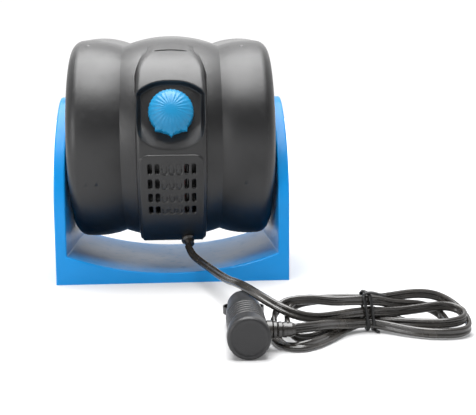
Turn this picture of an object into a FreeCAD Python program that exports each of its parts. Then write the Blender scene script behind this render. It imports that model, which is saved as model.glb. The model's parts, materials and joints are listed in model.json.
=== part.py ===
import FreeCAD, Part
import math
import os
import Sketcher
from FreeCAD import Placement, Rotation, Vector

# A small 12 V double blower: a tilting drum with two squirrel-cage impellers on one motor, held
# between the arms of a U-shaped stand, with a speed knob, a flat lead and a 12 V socket plug.
# Frame: origin on the surface it stands on, midway between the arms and below the tilt axis.
# +X along the drum, +Y towards the air outlet, +Z up. Millimetres.

doc = FreeCAD.newDocument("air_mover")
sheet = doc.addObject("Spreadsheet::Sheet", "Dimensions")

DIMENSIONS = {
    "stand_width": 165.0, "stand_depth": 120.0, "arm_thickness": 8.0, "arm_top": 131.5,
    "arch_centre": 50.0, "arch_side_radius": 90.0, "base_corner": 20.0, "base_middle": 7.0,
    "pad_radius": 8.0, "pad_thickness": 1.5, "pad_across": 58.0, "pad_along": 46.0,
    "tilt_height": 100.0, "half_length": 72.0, "lobe_radius": 73.6, "lobe_middle": 57.0,
    "lobe_end_radius": 71.6, "valley_radius": 69.6, "valley_offset": 35.0,
    "crown_radius": 75.6, "rim_round": 9.0, "wall": 2.4, "cover_start": 66.0,
    "duct_angle": 5.7, "duct_reach": 88.7, "duct_floor": 20.0,
    "spine_radius": 81.5, "spine_half_width": 24.0, "spine_wall": 2.2,
    "spine_bottom_angle": 66.0, "spine_top_angle": 62.0, "knob_angle": 15.0,
    "dish_floor": 74.6, "knob_radius": 15.2, "knob_base": 75.0, "knob_top": 89.0,
    "control_shaft": 3.0, "running_gap": 0.05, "rotor_forward": 4.0, "rotor_drop": 5.0,
    "impeller_radius": 50.0, "impeller_start": 36.0, "impeller_end": 60.0, "shaft_radius": 2.0,
    "motor_radius": 17.0, "pivot_radius": 3.0, "gland_angle": 60.0, "gland_across": 10.0,
    "gland_reach": 7.5, "lead_radius": 2.5, "plug_cap_radius": 10.9, "plug_body_radius": 9.8,
    "plug_barrel_radius": 8.9, "plug_length": 80.0, "pin_radius": 3.3,
}
for row, (alias, number) in enumerate(DIMENSIONS.items(), start=1):
    sheet.set(f"A{row}", alias)
    sheet.set(f"B{row}", str(number))
    sheet.setAlias(f"B{row}", alias)
doc.recompute()


class Size:
    """A length with its number and the spreadsheet expression that gives it."""

    def __init__(self, value, text):
        self.value = value
        self.text = text

    def __add__(self, other):
        return Size(self.value + number_of(other), f"({self.text} + {text_of(other)})")

    def __radd__(self, other):
        return Size(number_of(other) + self.value, f"({text_of(other)} + {self.text})")

    def __sub__(self, other):
        return Size(self.value - number_of(other), f"({self.text} - {text_of(other)})")

    def __rsub__(self, other):
        return Size(number_of(other) - self.value, f"({text_of(other)} - {self.text})")

    def __mul__(self, factor):
        return Size(self.value * factor, f"({self.text} * {factor})")

    def __rmul__(self, factor):
        return Size(self.value * factor, f"({factor} * {self.text})")

    def __truediv__(self, divisor):
        return Size(self.value / divisor, f"({self.text} / {divisor})")

    def __neg__(self):
        return Size(-self.value, f"(-{self.text})")


def number_of(size):
    return size.value if isinstance(size, Size) else float(size)


def text_of(size):
    return size.text if isinstance(size, Size) else repr(float(size))


def dimension(alias):
    return Size(float(sheet.get(alias)), f"Dimensions.{alias}")


def bind(item, name, size):
    """Give an object's property its number and, where it has one, its expression."""
    setattr(item, name, number_of(size))
    if isinstance(size, Size):
        item.setExpression(name, size.text)


def put(item, x=0.0, y=0.0, z=0.0, turn=Rotation()):
    item.Placement = Placement(Vector(number_of(x), number_of(y), number_of(z)), turn)
    for axis, size in (("x", x), ("y", y), ("z", z)):
        if isinstance(size, Size):
            item.setExpression(f"Placement.Base.{axis}", size.text)
    return item


# ---- Turns that lay a piece's own +Z along another direction ----
UPRIGHT = Rotation()
ALONG_X = Rotation(Vector(0, 1, 0), 90)
AGAINST_X = Rotation(Vector(0, 1, 0), -90)


def box(name, x, y, z, corner, turn=UPRIGHT):
    item = doc.addObject("Part::Box", name)
    bind(item, "Length", x)
    bind(item, "Width", y)
    bind(item, "Height", z)
    return put(item, *corner, turn)


def cylinder(name, radius, height, at, turn=UPRIGHT):
    item = doc.addObject("Part::Cylinder", name)
    bind(item, "Radius", radius)
    bind(item, "Height", height)
    return put(item, *at, turn)


def cone(name, start, end, height, at, turn=UPRIGHT):
    item = doc.addObject("Part::Cone", name)
    bind(item, "Radius1", start)
    bind(item, "Radius2", end)
    bind(item, "Height", height)
    return put(item, *at, turn)


def cut(name, base, tool):
    item = doc.addObject("Part::Cut", name)
    item.Base = base
    item.Tool = tool
    return item


def fuse(name, pieces):
    item = doc.addObject("Part::MultiFuse", name)
    item.Shapes = pieces
    return item


def common(name, base, tool):
    item = doc.addObject("Part::Common", name)
    item.Base = base
    item.Tool = tool
    return item


def group(name, pieces):
    """Identical pieces that stay separate solids under one name."""
    item = doc.addObject("Part::Compound", name)
    item.Links = pieces
    return item


def tube(name, outer, inner, height, at, turn=UPRIGHT):
    return cut(name, cylinder(name + "_outside", outer, height, at, turn),
               cylinder(name + "_bore", inner, height, at, turn))


def free_shape(name, shape, x=0.0, y=0.0, z=0.0, turn=UPRIGHT):
    item = doc.addObject("Part::Feature", name)
    item.Shape = shape
    return put(item, x, y, z, turn)


# ---- Sketches and the bodies made from them ----
def body(label):
    item = doc.addObject("PartDesign::Body", label)
    item.Label = label
    return item


def sketch_on(owner, plane, name, offset=None):
    item = owner.newObject("Sketcher::SketchObject", name)
    origin_plane = [part for part in owner.Origin.OriginFeatures if part.Role == plane][0]
    item.AttachmentSupport = [(origin_plane, "")]
    item.MapMode = "FlatFace"
    if offset:
        item.AttachmentOffset = offset
    return item


def fix_vertex(sketch, geometry, end, x, y):
    """Hold a sketch vertex at x, y from the sketch's origin."""
    for kind, size, axis in (("DistanceX", x, -2), ("DistanceY", y, -1)):
        value = number_of(size)
        if abs(value) < 1e-9:
            sketch.addConstraint(Sketcher.Constraint("PointOnObject", geometry, end, axis))
            continue
        if value > 0:
            rule = Sketcher.Constraint(kind, -1, 1, geometry, end, value)
            text = text_of(size)
        else:
            rule = Sketcher.Constraint(kind, geometry, end, -1, 1, -value)
            text = f"-({text_of(size)})"
        index = sketch.addConstraint(rule)
        if isinstance(size, Size):
            sketch.setExpression(f"Constraints[{index}]", text)


def outline(sketch, points):
    """A closed outline. A point is (x, y), or (x, y, radius) where an arc of that radius leads to
    it from the point before: positive turns left, negative turns right."""
    count = len(points)
    ends = []
    for index in range(count):
        here = Vector(number_of(points[index][0]), number_of(points[index][1]), 0)
        target = points[(index + 1) % count]
        there = Vector(number_of(target[0]), number_of(target[1]), 0)
        if len(target) == 2:
            geometry = sketch.addGeometry(Part.LineSegment(here, there))
            ends.append((geometry, 1, 2))
            continue
        radius = number_of(target[2])
        chord = there - here
        side = Vector(-chord.y, chord.x, 0).normalize() * math.copysign(1, radius)
        rise = math.sqrt(max(radius * radius - chord.Length ** 2 / 4, 0.0))
        centre = (here + there) * 0.5 + side * rise
        start, stop = (here, there) if radius > 0 else (there, here)
        first = math.atan2(start.y - centre.y, start.x - centre.x)
        last = math.atan2(stop.y - centre.y, stop.x - centre.x)
        circle = Part.Circle(centre, Vector(0, 0, 1), abs(radius))
        geometry = sketch.addGeometry(Part.ArcOfCircle(circle, first, last))
        ends.append((geometry, 1, 2) if radius > 0 else (geometry, 2, 1))
        index_of_rule = sketch.addConstraint(Sketcher.Constraint("Radius", geometry, abs(radius)))
        if isinstance(target[2], Size):
            text = target[2].text if radius > 0 else f"-({target[2].text})"
            sketch.setExpression(f"Constraints[{index_of_rule}]", text)
    for index in range(count):
        geometry, start, stop = ends[index]
        following, next_start, _ = ends[(index + 1) % count]
        sketch.addConstraint(Sketcher.Constraint("Coincident", geometry, stop, following, next_start))
        fix_vertex(sketch, geometry, start, points[index][0], points[index][1])


def circle_in(sketch, x, y, radius):
    centre = Vector(number_of(x), number_of(y), 0)
    geometry = sketch.addGeometry(Part.Circle(centre, Vector(0, 0, 1), number_of(radius)))
    fix_vertex(sketch, geometry, 3, x, y)
    index = sketch.addConstraint(Sketcher.Constraint("Radius", geometry, number_of(radius)))
    if isinstance(radius, Size):
        sketch.setExpression(f"Constraints[{index}]", radius.text)


def feature(owner, kind, name, sketch, length=None, symmetric=False, reverse=False):
    item = owner.newObject(f"PartDesign::{kind}", name)
    item.Profile = sketch
    if symmetric:
        item.SideType = "Symmetric"
    item.Reversed = reverse
    if length is not None:
        bind(item, "Length", length)
    return item


def turned(label, points, at=(0, 0, 0), turn=UPRIGHT):
    """A body of revolution about its own Z axis, from an outline of (radius, height) points."""
    item = body(label)
    sketch = sketch_on(item, "XZ_Plane", label + "_half")
    outline(sketch, points)
    spin = item.newObject("PartDesign::Revolution", label + "_turn")
    spin.Profile = sketch
    spin.ReferenceAxis = (sketch, ["V_Axis"])
    spin.Angle = 360.0
    put(item, *at, turn)
    return item


def polar(owner, name, originals, count, axis_sketch, angle=360.0):
    item = owner.newObject("PartDesign::PolarPattern", name)
    item.Originals = originals
    item.Axis = (axis_sketch, ["N_Axis"])
    item.Angle = angle
    item.Occurrences = count
    owner.Tip = item
    return item


def screw(name, shank, length, head, head_height, at, turn):
    """A pan-head screw with its head's underside at a point and its shank along its own +Z."""
    rod = cylinder(name + "_shank", shank, length, at, turn)
    back = turn.multVec(Vector(0, 0, -number_of(head_height)))
    seat = [at[0] + back.x, at[1] + back.y, at[2] + back.z]
    button = cylinder(name + "_head", head, head_height, seat, turn)
    return fuse(name, [rod, button])


def arc_radius(half_chord, rise):
    """The radius of an arc from half its chord and its rise."""
    value = (number_of(half_chord) ** 2 + number_of(rise) ** 2) / (2 * number_of(rise))
    half, up = text_of(half_chord), text_of(rise)
    return Size(value, f"(({half}) ^ 2 + ({up}) ^ 2) / (2 * ({up}))")


def arc_drop(radius, offset):
    """How far an arc has fallen at an offset from its top."""
    value = number_of(radius) - math.sqrt(number_of(radius) ** 2 - number_of(offset) ** 2)
    bend, aside = text_of(radius), text_of(offset)
    return Size(value, f"(({bend}) - sqrt(({bend}) ^ 2 - ({aside}) ^ 2))")


tilt_height = dimension("tilt_height")
half_length = dimension("half_length")
wall = dimension("wall")
running_gap = dimension("running_gap")
pivot_radius = dimension("pivot_radius")
stand_half = dimension("stand_width") / 2
arm_inside = stand_half - dimension("arm_thickness")
TILT_AXIS = Vector(0, 0, number_of(tilt_height))


def round_edges(owner, name, radius, chosen):
    """Round the edges of a body's last feature that a test picks."""
    doc.recompute()
    last = owner.Tip
    edges = [f"Edge{i + 1}" for i, edge in enumerate(last.Shape.Edges) if chosen(edge)]
    item = owner.newObject("PartDesign::Fillet", name)
    item.Base = (last, edges)
    bind(item, "Radius", radius)
    owner.Tip = item
    return item


# ---- Stand: one bent U of moulded plastic with slotted arms ----
def make_stand_bracket():
    item = body("stand_bracket")
    half_depth = dimension("stand_depth") / 2
    top = dimension("arm_top")
    corner = dimension("base_corner")
    base_arc = arc_radius(arm_inside, corner - dimension("base_middle"))
    spare = 5.0
    front = sketch_on(item, "XZ_Plane", "bracket_front")
    outline(front, [
        (-stand_half, 0), (stand_half, 0), (stand_half, top + spare), (arm_inside, top + spare),
        (arm_inside, corner), (-arm_inside, corner, -base_arc), (-arm_inside, top + spare),
        (-stand_half, top + spare)])
    feature(item, "Pad", "bracket_block", front, dimension("stand_depth") + spare,
            symmetric=True)

    # The arms narrow to a round top that is nearly concentric with the tilt axis: a side arc
    # runs tangent to the upright edge below it and to the top arc above it.
    arch_centre = dimension("arch_centre")
    side_arc = dimension("arch_side_radius")
    inset = number_of(side_arc) - number_of(half_depth)
    climb = number_of(top) - number_of(arch_centre)
    bend = number_of(side_arc)
    top_arc = (bend ** 2 - inset ** 2 - climb ** 2) / (2 * (bend - climb))
    share = bend / (bend - top_arc)
    shoulder_y = inset * share - inset
    shoulder_z = number_of(arch_centre) + (climb - top_arc) * share
    far = half_depth + 20
    side = sketch_on(item, "YZ_Plane", "bracket_side")
    outline(side, [(-far, -5), (far, -5), (far, top + 20), (-far, top + 20)])
    outline(side, [
        (-half_depth, -2), (half_depth, -2), (half_depth, arch_centre),
        (shoulder_y, shoulder_z, side_arc), (-shoulder_y, shoulder_z, top_arc),
        (-half_depth, arch_centre, side_arc)])
    feature(item, "Pocket", "bracket_arch", side, dimension("stand_width") + 10, symmetric=True)

    def outer_edge(edge):
        box_of = edge.BoundBox
        on_floor = box_of.ZMax < 0.01
        return not on_floor

    round_edges(item, "bracket_rounding", 1.2, outer_edge)

    on_axis = Placement(Vector(0, number_of(tilt_height), 0), Rotation())
    bore = sketch_on(item, "YZ_Plane", "pivot_bores", on_axis)
    circle_in(bore, 0, 0, pivot_radius + running_gap)
    feature(item, "Pocket", "pivot_bore", bore, dimension("stand_width") + 10, symmetric=True)
    for name, place, reverse in (("left", -stand_half, True), ("right", stand_half, False)):
        offset = Placement(Vector(0, number_of(tilt_height), number_of(place)), Rotation())
        seat = sketch_on(item, "YZ_Plane", f"screw_seat_{name}", offset)
        circle_in(seat, 0, 0, 8.0)
        feature(item, "Pocket", f"screw_recess_{name}", seat, 4.0, reverse=reverse)

    # Air reaches the intakes through two rings of round-ended slots in each arm.
    half_slot = 2.4
    for name, start, stop, count, sweep in (("inner", 13.5, 24.0, 12, 360.0),
                                            ("outer", 31.0, 43.0, 9, 160.0)):
        first = math.radians(-170.0 if name == "outer" else 90.0)
        along = Vector(math.cos(first), math.sin(first), 0)
        side_step = Vector(-along.y, along.x, 0) * half_slot
        corners = [along * start - side_step, along * stop - side_step,
                   along * stop + side_step, along * start + side_step]
        end_arc = half_slot * 1.05
        slot = sketch_on(item, "YZ_Plane", f"slot_{name}", on_axis)
        outline(slot, [(corners[0].x, corners[0].y, end_arc), (corners[1].x, corners[1].y),
                       (corners[2].x, corners[2].y, end_arc), (corners[3].x, corners[3].y)])
        hole = feature(item, "Pocket", f"slot_cut_{name}", slot,
                       dimension("stand_width") + 10, symmetric=True)
        polar(item, f"slot_ring_{name}", [hole], count, slot, sweep)

    under = sketch_on(item, "XY_Plane", "pad_recesses")
    across, along_y = dimension("pad_across"), dimension("pad_along")
    for x, y in ((across, along_y), (across, -along_y), (-across, along_y), (-across, -along_y)):
        circle_in(under, x, y, dimension("pad_radius"))
    feature(item, "Pocket", "pad_recess", under, dimension("pad_thickness"), reverse=True)
    return item


def make_stand_fittings():
    across, along_y = dimension("pad_across"), dimension("pad_along")
    pads = []
    for index, (x, y) in enumerate(((across, along_y), (across, -along_y),
                                    (-across, along_y), (-across, -along_y)), start=1):
        pads.append(cylinder(f"pad_{index}", dimension("pad_radius"),
                             dimension("pad_thickness"), (x, y, 0)))
    made = [group("base_pads", pads)]
    gap = 0.3
    thickness = arm_inside - half_length - gap
    cap_outline = [(0, 0), (8.0, 0), (8.0, 0.9), (7.2, 1.7), (0, 2.4)]
    for name, sign, turn in (("left", -1, AGAINST_X), ("right", 1, ALONG_X)):
        start = (half_length + gap) * sign
        made.append(tube(f"friction_washer_{name}", 12.0, pivot_radius + 1.0, thickness,
                         (start, 0, tilt_height), turn))
        made.append(turned(f"pivot_cap_{name}", cap_outline,
                           ((stand_half - 0.9) * sign, 0, tilt_height), turn))
    return made


# ---- Tilting head: its outer form, and the same form less the wall ----
def head_form(label, inset, length, rounding, floor, reach):
    """The drum and its outlet duct as one solid, about the tilt axis."""
    item = body(label)
    valley_x = dimension("valley_offset")
    valley = dimension("valley_radius") - inset
    lobe = dimension("lobe_radius") - inset
    lobe_bend = arc_radius(dimension("lobe_middle") - valley_x, lobe - valley)
    crown_bend = arc_radius(valley_x, dimension("crown_radius") - inset - valley)
    edge_x = length - rounding
    edge_r = lobe - arc_drop(lobe_bend, edge_x - dimension("lobe_middle"))
    if rounding:
        right_top = [(length, edge_r - rounding), (edge_x, edge_r, rounding)]
        left_top = [(-edge_x, edge_r, lobe_bend), (-length, edge_r - rounding, rounding)]
    else:
        right_top = [(length, edge_r)]
        left_top = [(-length, edge_r, lobe_bend)]
    over = right_top + [(valley_x, valley, lobe_bend), (-valley_x, valley, crown_bend)] + left_top
    section = sketch_on(item, "XZ_Plane", label + "_section")
    outline(section, [(-length, 0), (length, 0)] + over)
    spin = item.newObject("PartDesign::Revolution", label + "_drum")
    spin.Profile = section
    spin.ReferenceAxis = (section, ["H_Axis"])
    spin.Angle = 360.0
    tipped = Placement(Vector(), Rotation(Vector(1, 0, 0), number_of(dimension("duct_angle"))))
    mouth = sketch_on(item, "XZ_Plane", label + "_mouth", tipped)
    outline(mouth, [(-length, floor), (length, floor)] + over)
    feature(item, "Pad", label + "_duct", mouth, reach, reverse=True)
    put(item, 0, 0, tilt_height)
    return item


def from_axis(x, angle, radius):
    """A point at a radius from the tilt axis: the angle rises from -Y."""
    tip = math.radians(angle)
    return Vector(x, -radius * math.cos(tip), number_of(tilt_height) + radius * math.sin(tip))


def outward(angle):
    """Turns a piece's +Z to point away from the tilt axis at that angle, with +X kept."""
    return Rotation(Vector(1, 0, 0), 90 - angle)


def in_duct(x, along, up):
    """A point in the duct's own frame: along its axis and up from the tilt axis."""
    tip = math.radians(number_of(dimension("duct_angle")))
    y = along * math.cos(tip) - up * math.sin(tip)
    return Vector(x, y, number_of(tilt_height) + along * math.sin(tip) + up * math.cos(tip))


DUCT_TURN = Rotation(Vector(1, 0, 0), number_of(dimension("duct_angle")))
POST_PLACES = ((205.0, 62.0), (262.0, 62.0), (-28.0, 62.0), (115.0, 62.0))


def post_point(x, angle, radius):
    """A screw post's centre: the angle rises from +Y."""
    tip = math.radians(angle)
    return Vector(x, radius * math.cos(tip), number_of(tilt_height) + radius * math.sin(tip))


def make_head_shells():
    rim_round = number_of(dimension("rim_round"))
    outside = head_form("head_outside", 0, half_length, rim_round, dimension("duct_floor"),
                        dimension("duct_reach"))
    inside = head_form("head_inside", wall, half_length - wall, rim_round - number_of(wall),
                       dimension("duct_floor") + wall, dimension("duct_reach") + 5)
    cover_start = dimension("cover_start")
    middle = box("wrap_slab", cover_start * 2, 400, 400, (-cover_start, -200, -100))
    posts = []
    for side in (-1, 1):
        for index, (angle, radius) in enumerate(POST_PLACES):
            at = post_point(side * 50.0, angle, radius)
            tag = f"{index}_{'left' if side < 0 else 'right'}"
            posts.append(cylinder(f"post_{tag}", 3.6, 16.0, (at.x, at.y, at.z),
                                  ALONG_X if side > 0 else AGAINST_X))
            rib_turn = Rotation(Vector(1, 0, 0), angle)
            low = post_point(50.0 if side > 0 else -66.0, angle, radius)
            low = low + rib_turn.multVec(Vector(0, 0, -1.2))
            posts.append(box(f"post_rib_{tag}", 16.0, 14.0, 2.4, (low.x, low.y, low.z), rib_turn))
    wrap_skin = cut("wrap_skin", common("wrap_block", outside, middle), inside)
    held_posts = common("post_stock", outside, fuse("post_set", posts))
    wrap = fuse("wrap_with_posts", [wrap_skin, held_posts])
    holes = []
    for side in (-1, 1):
        for index, (angle, radius) in enumerate(POST_PLACES):
            at = post_point(side * 56.0, angle, radius)
            holes.append(cylinder(f"post_hole_{index}_{'left' if side < 0 else 'right'}", 1.5,
                                  20.0, (at.x, at.y, at.z), ALONG_X if side > 0 else AGAINST_X))
    knob_angle = number_of(dimension("knob_angle"))
    window_low = from_axis(-23.2, knob_angle, 60.0)
    window_turn = outward(knob_angle)
    corner = window_low + window_turn.multVec(Vector(0, -31.0, 0))
    window = box("board_window", 46.4, 58.0, 30.0, (corner.x, corner.y, corner.z), window_turn)
    wrap = cut("wrap_open", wrap, fuse("wrap_holes", holes + [window]))

    # The front quarter of the wrap, with the lower lip of the duct, is a separate shell.
    split_turn = Rotation(Vector(1, 0, 0), 64.5)
    split_at = Vector(-100, 8.0, 26.7) + split_turn.multVec(Vector(0, -60.0, -150.0))
    front_block = box("front_block", 200, 200, 150, tuple(split_at), split_turn)
    rear = cut("rear_shell", wrap, front_block)
    front = common("front_shell", wrap, front_block)

    covers = []
    rotor_y, rotor_z = dimension("rotor_forward"), tilt_height - dimension("rotor_drop")
    for name, sign, turn in (("left", -1, AGAINST_X), ("right", 1, ALONG_X)):
        start = cover_start * sign if sign > 0 else -(half_length + 10)
        slab = box(f"cover_slab_{name}", half_length + 10 - cover_start, 400, 400,
                   (start, -200, -100))
        cover = common(f"cover_block_{name}", outside, slab)
        boss = cylinder(f"pivot_boss_{name}", 9.0, 8.0, (62.0 * sign, 0, tilt_height), turn)
        screw_bosses = []
        for index, (angle, radius) in enumerate(POST_PLACES):
            at = post_point(number_of(cover_start) * sign, angle, radius)
            screw_bosses.append(cylinder(f"cover_post_{index}_{name}", 3.6, 4.0,
                                         (at.x, at.y, at.z), turn))
        bell = tube(f"intake_bell_{name}", 43.5, 41.5, 8.0, (62.0 * sign, rotor_y, rotor_z), turn)
        rings = []
        for index, radius in enumerate((16.0, 22.5, 29.0, 35.5)):
            rings.append(tube(f"intake_gap_{index}_{name}", radius + 4.2, radius, 12.0,
                              (64.0 * sign, rotor_y, rotor_z), turn))
        spokes = []
        for index in range(4):
            spoke_turn = Rotation(Vector(1, 0, 0), 45.0 * index + 22.5)
            offset = spoke_turn.multVec(Vector(0, -45.0, -1.5))
            low = 60.0 if sign > 0 else -76.0
            spokes.append(box(f"spoke_{index}_{name}", 16.0, 90.0, 3.0,
                              (low, offset.y + number_of(rotor_y), offset.z + number_of(rotor_z)),
                              spoke_turn))
        gaps = cut(f"intake_gaps_{name}", fuse(f"intake_rings_{name}", rings),
                   fuse(f"intake_spokes_{name}", spokes))
        hollow = cut(f"cover_hollow_{name}", cover, inside)
        built = fuse(f"cover_built_{name}", [hollow, boss, bell] + screw_bosses)
        bore = cylinder(f"cover_bore_{name}", pivot_radius, 20.0, (58.0 * sign, 0, tilt_height), turn)
        drilled = [bore]
        for index, (angle, radius) in enumerate(POST_PLACES):
            at = post_point(60.0 * sign, angle, radius)
            seat = post_point((number_of(half_length) - 2.0) * sign, angle, radius)
            drilled.append(cylinder(f"cover_hole_{index}_{name}", 1.5, 14.0,
                                    (at.x, at.y, at.z), turn))
            drilled.append(cylinder(f"cover_seat_{index}_{name}", 3.1, 4.0,
                                    (seat.x, seat.y, seat.z), turn))
        keep_boss = cut(f"gaps_clear_{name}", gaps, cylinder(
            f"boss_guard_{name}", 9.0, 16.0, (62.0 * sign, 0, tilt_height), turn))
        covers.append(cut(f"side_cover_{name}", built, fuse(f"cover_cuts_{name}",
                                                            [keep_boss] + drilled)))
    return [rear, front] + covers


def along(direction):
    """Turns a piece's own +Z to point along a direction."""
    return Rotation(Vector(0, 0, 1), direction)


knob_angle = number_of(dimension("knob_angle"))
KNOB_TURN = outward(knob_angle)
KNOB_AXIS = KNOB_TURN.multVec(Vector(0, 0, 1))


def on_knob_axis(across, up, radius):
    """A point in the knob's frame: across it, up it, and out from the tilt axis."""
    return TILT_AXIS + KNOB_TURN.multVec(Vector(across, up, radius))


GLAND_SEAT = from_axis(number_of(dimension("gland_across")),
                       -number_of(dimension("gland_angle")), number_of(dimension("spine_radius")))
GLAND_AXIS = Vector(0.25, -0.75, -0.61).normalize()


# ---- Control cover: the raised spine with the knob's dish and the vents ----
def make_control_cover(outside):
    spine = dimension("spine_radius")
    half = dimension("spine_half_width")
    skin = dimension("spine_wall")
    bottom = number_of(dimension("spine_bottom_angle"))
    top = number_of(dimension("spine_top_angle"))

    def side_profile(label, inset, half_width):
        """The spine's block: a round back that falls towards the drum above the dish."""
        item = body(label)
        sketch = sketch_on(item, "YZ_Plane", label + "_side")
        low, high, shoulder = math.radians(bottom), math.radians(top), math.radians(32.0)
        out = number_of(spine) - inset
        end = number_of(dimension("crown_radius")) + 0.8 - inset
        inner = 60.0
        trim = inset / out
        low = low - trim
        outline(sketch, [
            (-inner * math.cos(low), -inner * math.sin(low)),
            (-inner * math.cos(high), inner * math.sin(high)),
            (-end * math.cos(high), end * math.sin(high)),
            (-out * math.cos(shoulder), out * math.sin(shoulder), 58.0),
            (-out * math.cos(low), -out * math.sin(low), out)])
        feature(item, "Pad", label + "_block", sketch, half_width * 2, symmetric=True)
        taper = sketch_on(item, "XZ_Plane", label + "_front")
        for side in (1, -1):
            corners = [(side * (half_width + 2), 37.0), (side * half_width, 37.0),
                       (side * (half_width * 0.43), 69.0), (side * (half_width * 0.43), 80.0),
                       (side * (half_width + 2), 80.0)]
            outline(taper, corners if side < 0 else corners[::-1])
        feature(item, "Pocket", label + "_taper", taper, 200.0, symmetric=True)
        put(item, 0, 0, tilt_height)
        return item

    outer = side_profile("spine_outside", 0.0, half)
    doc.recompute()

    def back_edge(edge):
        """The long edges along the spine's back, and the one across its lower end."""
        points = edge.discretize(5)
        reach = min(math.hypot(p.y, p.z - number_of(tilt_height)) for p in points)
        lowest = min(p.z for p in points)
        across = max(p.x for p in points) - min(p.x for p in points)
        return reach > 76.0 and not (across > 20 and lowest > 100)

    round_edges(outer, "spine_rounding", 2.5, back_edge)
    inner = side_profile("spine_inside", number_of(skin), half - skin)
    window_corner = on_knob_axis(-22.9, -30.5, 60.0)
    window = box("spine_window", 45.8, 57.0, 30.0, tuple(window_corner), KNOB_TURN)
    skin_part = cut("spine_skin", outer, inner)
    drum_side = cut("drum_without_window", outside, window)
    skin_part = cut("spine_seated", skin_part, drum_side)

    # The dish that the knob sits in: a tub through the skin with an arched brow.
    floor = number_of(dimension("dish_floor"))
    dish_half = 22.3

    def dish(label, grow, start, height):
        item = body(label)
        sketch = sketch_on(item, "XY_Plane", label + "_plan")
        side = dish_half + grow
        outline(sketch, [(-side, -13.0), (side, -13.0, 25.0 + grow), (side, 14.0),
                         (-side, 14.0, 33.0 + grow)])
        feature(item, "Pad", label + "_solid", sketch, height)
        at = on_knob_axis(0, 0, start)
        put(item, at.x, at.y, at.z, KNOB_TURN)
        return item

    tub_stock = common("dish_tub_stock", dish("dish_outside", 1.6, floor - 2.2, 20.0), outer)
    tub = cut("dish_tub", tub_stock, drum_side)
    hollow = dish("dish_inside", 0.0, floor, 30.0)
    posts = []
    holes = []
    for across in (-15.5, 15.5):
        for up in (-17.0, 14.0):
            tag = f"{'left' if across < 0 else 'right'}_{'low' if up < 0 else 'high'}"
            at = on_knob_axis(across, up, 59.6)
            post = cylinder(f"board_post_{tag}", 2.6, floor - 61.0, tuple(at), KNOB_TURN)
            posts.append(post)
            holes.append(cylinder(f"board_post_hole_{tag}", 1.1, 9.0, tuple(at), KNOB_TURN))
    solid = fuse("cover_solid", [skin_part, tub] + posts)

    shaft_hole = cylinder("control_shaft_hole", dimension("control_shaft") + running_gap, 30.0,
                          tuple(on_knob_axis(0, 0, 62.0)), KNOB_TURN)
    gland_hole = cylinder("gland_hole", 4.2, 8.0, tuple(GLAND_SEAT - GLAND_AXIS * 4.0),
                          along(GLAND_AXIS))
    gland_recess = cylinder("gland_recess", 5.0, 6.0, tuple(GLAND_SEAT + GLAND_AXIS * 1.15),
                            along(GLAND_AXIS))

    # Four rows of seven round-ended vents: the outer two columns each side are open, and the
    # middle three are only marked.
    vents = []
    rows, columns = 4, 7
    column_step, row_step, first_row = 4.95, 7.6, -12.7
    slot_half, slot_reach = 1.65, 2.1
    for row in range(rows):
        angle = first_row - row * row_step
        for column in range(columns):
            blind = 2 <= column <= 4
            across = (column - (columns - 1) / 2) * column_step
            start = number_of(spine) - (0.35 if blind else 8.0)
            tag = f"{row}_{column}"
            turn = outward(angle)
            middle = from_axis(across, angle, start)
            ends = []
            for sign in (-1, 1):
                at = middle + turn.multVec(Vector(0, sign * slot_reach, 0))
                ends.append(cylinder(f"vent_end_{tag}_{'low' if sign < 0 else 'high'}",
                                     slot_half, 12.0, tuple(at), turn))
            at = middle + turn.multVec(Vector(-slot_half, -slot_reach, 0))
            ends.append(box(f"vent_middle_{tag}", slot_half * 2, slot_reach * 2, 12.0,
                            tuple(at), turn))
            vent = fuse(f"vent_{tag}", ends)
            if blind:
                at = middle + turn.multVec(Vector(-slot_half + 0.5, -slot_reach - 0.9, 0))
                core = box(f"vent_core_{tag}", slot_half * 2 - 1.0, slot_reach * 2 + 1.8, 12.0,
                           tuple(at), turn)
                vent = cut(f"vent_mark_{tag}", vent, core)
            vents.append(vent)
    cuts = group("cover_cuts", [hollow, shaft_hole, gland_hole, gland_recess] + holes + vents)
    return cut("control_cover", solid, cuts)


# ---- Outlet grille: a frame in the duct's mouth with level vanes and upright ribs ----
def make_outlet_grille(inside):
    start = in_duct(-80, 78.0, 0)
    slab = box("grille_slab", 160, 7.5, 100, tuple(start), DUCT_TURN)
    block = common("grille_block", slab, inside)
    openings = []
    rows, columns = 6, 6
    low, high = number_of(dimension("duct_floor") + wall) + 2.2, 69.0
    vane = 1.7
    pitch = (high - low + vane) / rows
    rib = 2.2
    half_open = 66.6
    width = (half_open * 2 + rib) / columns
    tilt = DUCT_TURN.multiply(Rotation(Vector(1, 0, 0), 6.0))
    for row in range(rows):
        for column in range(columns):
            x = -half_open + column * width
            up = low + row * pitch
            reach = pitch - vane
            at_valley = abs(abs(x + (width - rib) / 2) - 35.0) < 12.0
            if row == rows - 1:
                reach = reach - (3.4 if at_valley else 1.6)
            at = in_duct(x, 70.0, up - 0.9)
            openings.append(box(f"grille_gap_{row}_{column}", width - rib, 30.0, reach,
                                tuple(at), tilt))
    return cut("outlet_grille", block, fuse("grille_gaps", openings))


# ---- Inner walls that part the motor bay from the two fan chambers ----
def make_scroll_walls(inside):
    made = []
    rotor_y, rotor_z = dimension("rotor_forward"), tilt_height - dimension("rotor_drop")
    thickness = 2.0
    for name, low in (("left", -33.2), ("right", 31.2)):
        slab = box(f"scroll_slab_{name}", thickness, 169.5, 200, (low, -100, 0))
        plate = common(f"scroll_plate_{name}", slab, inside)
        eye = cylinder(f"scroll_eye_{name}", 12.0, 10.0, (low - 4, rotor_y, rotor_z), ALONG_X)
        made.append(cut(f"scroll_wall_{name}", plate, eye))
    return made


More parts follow.
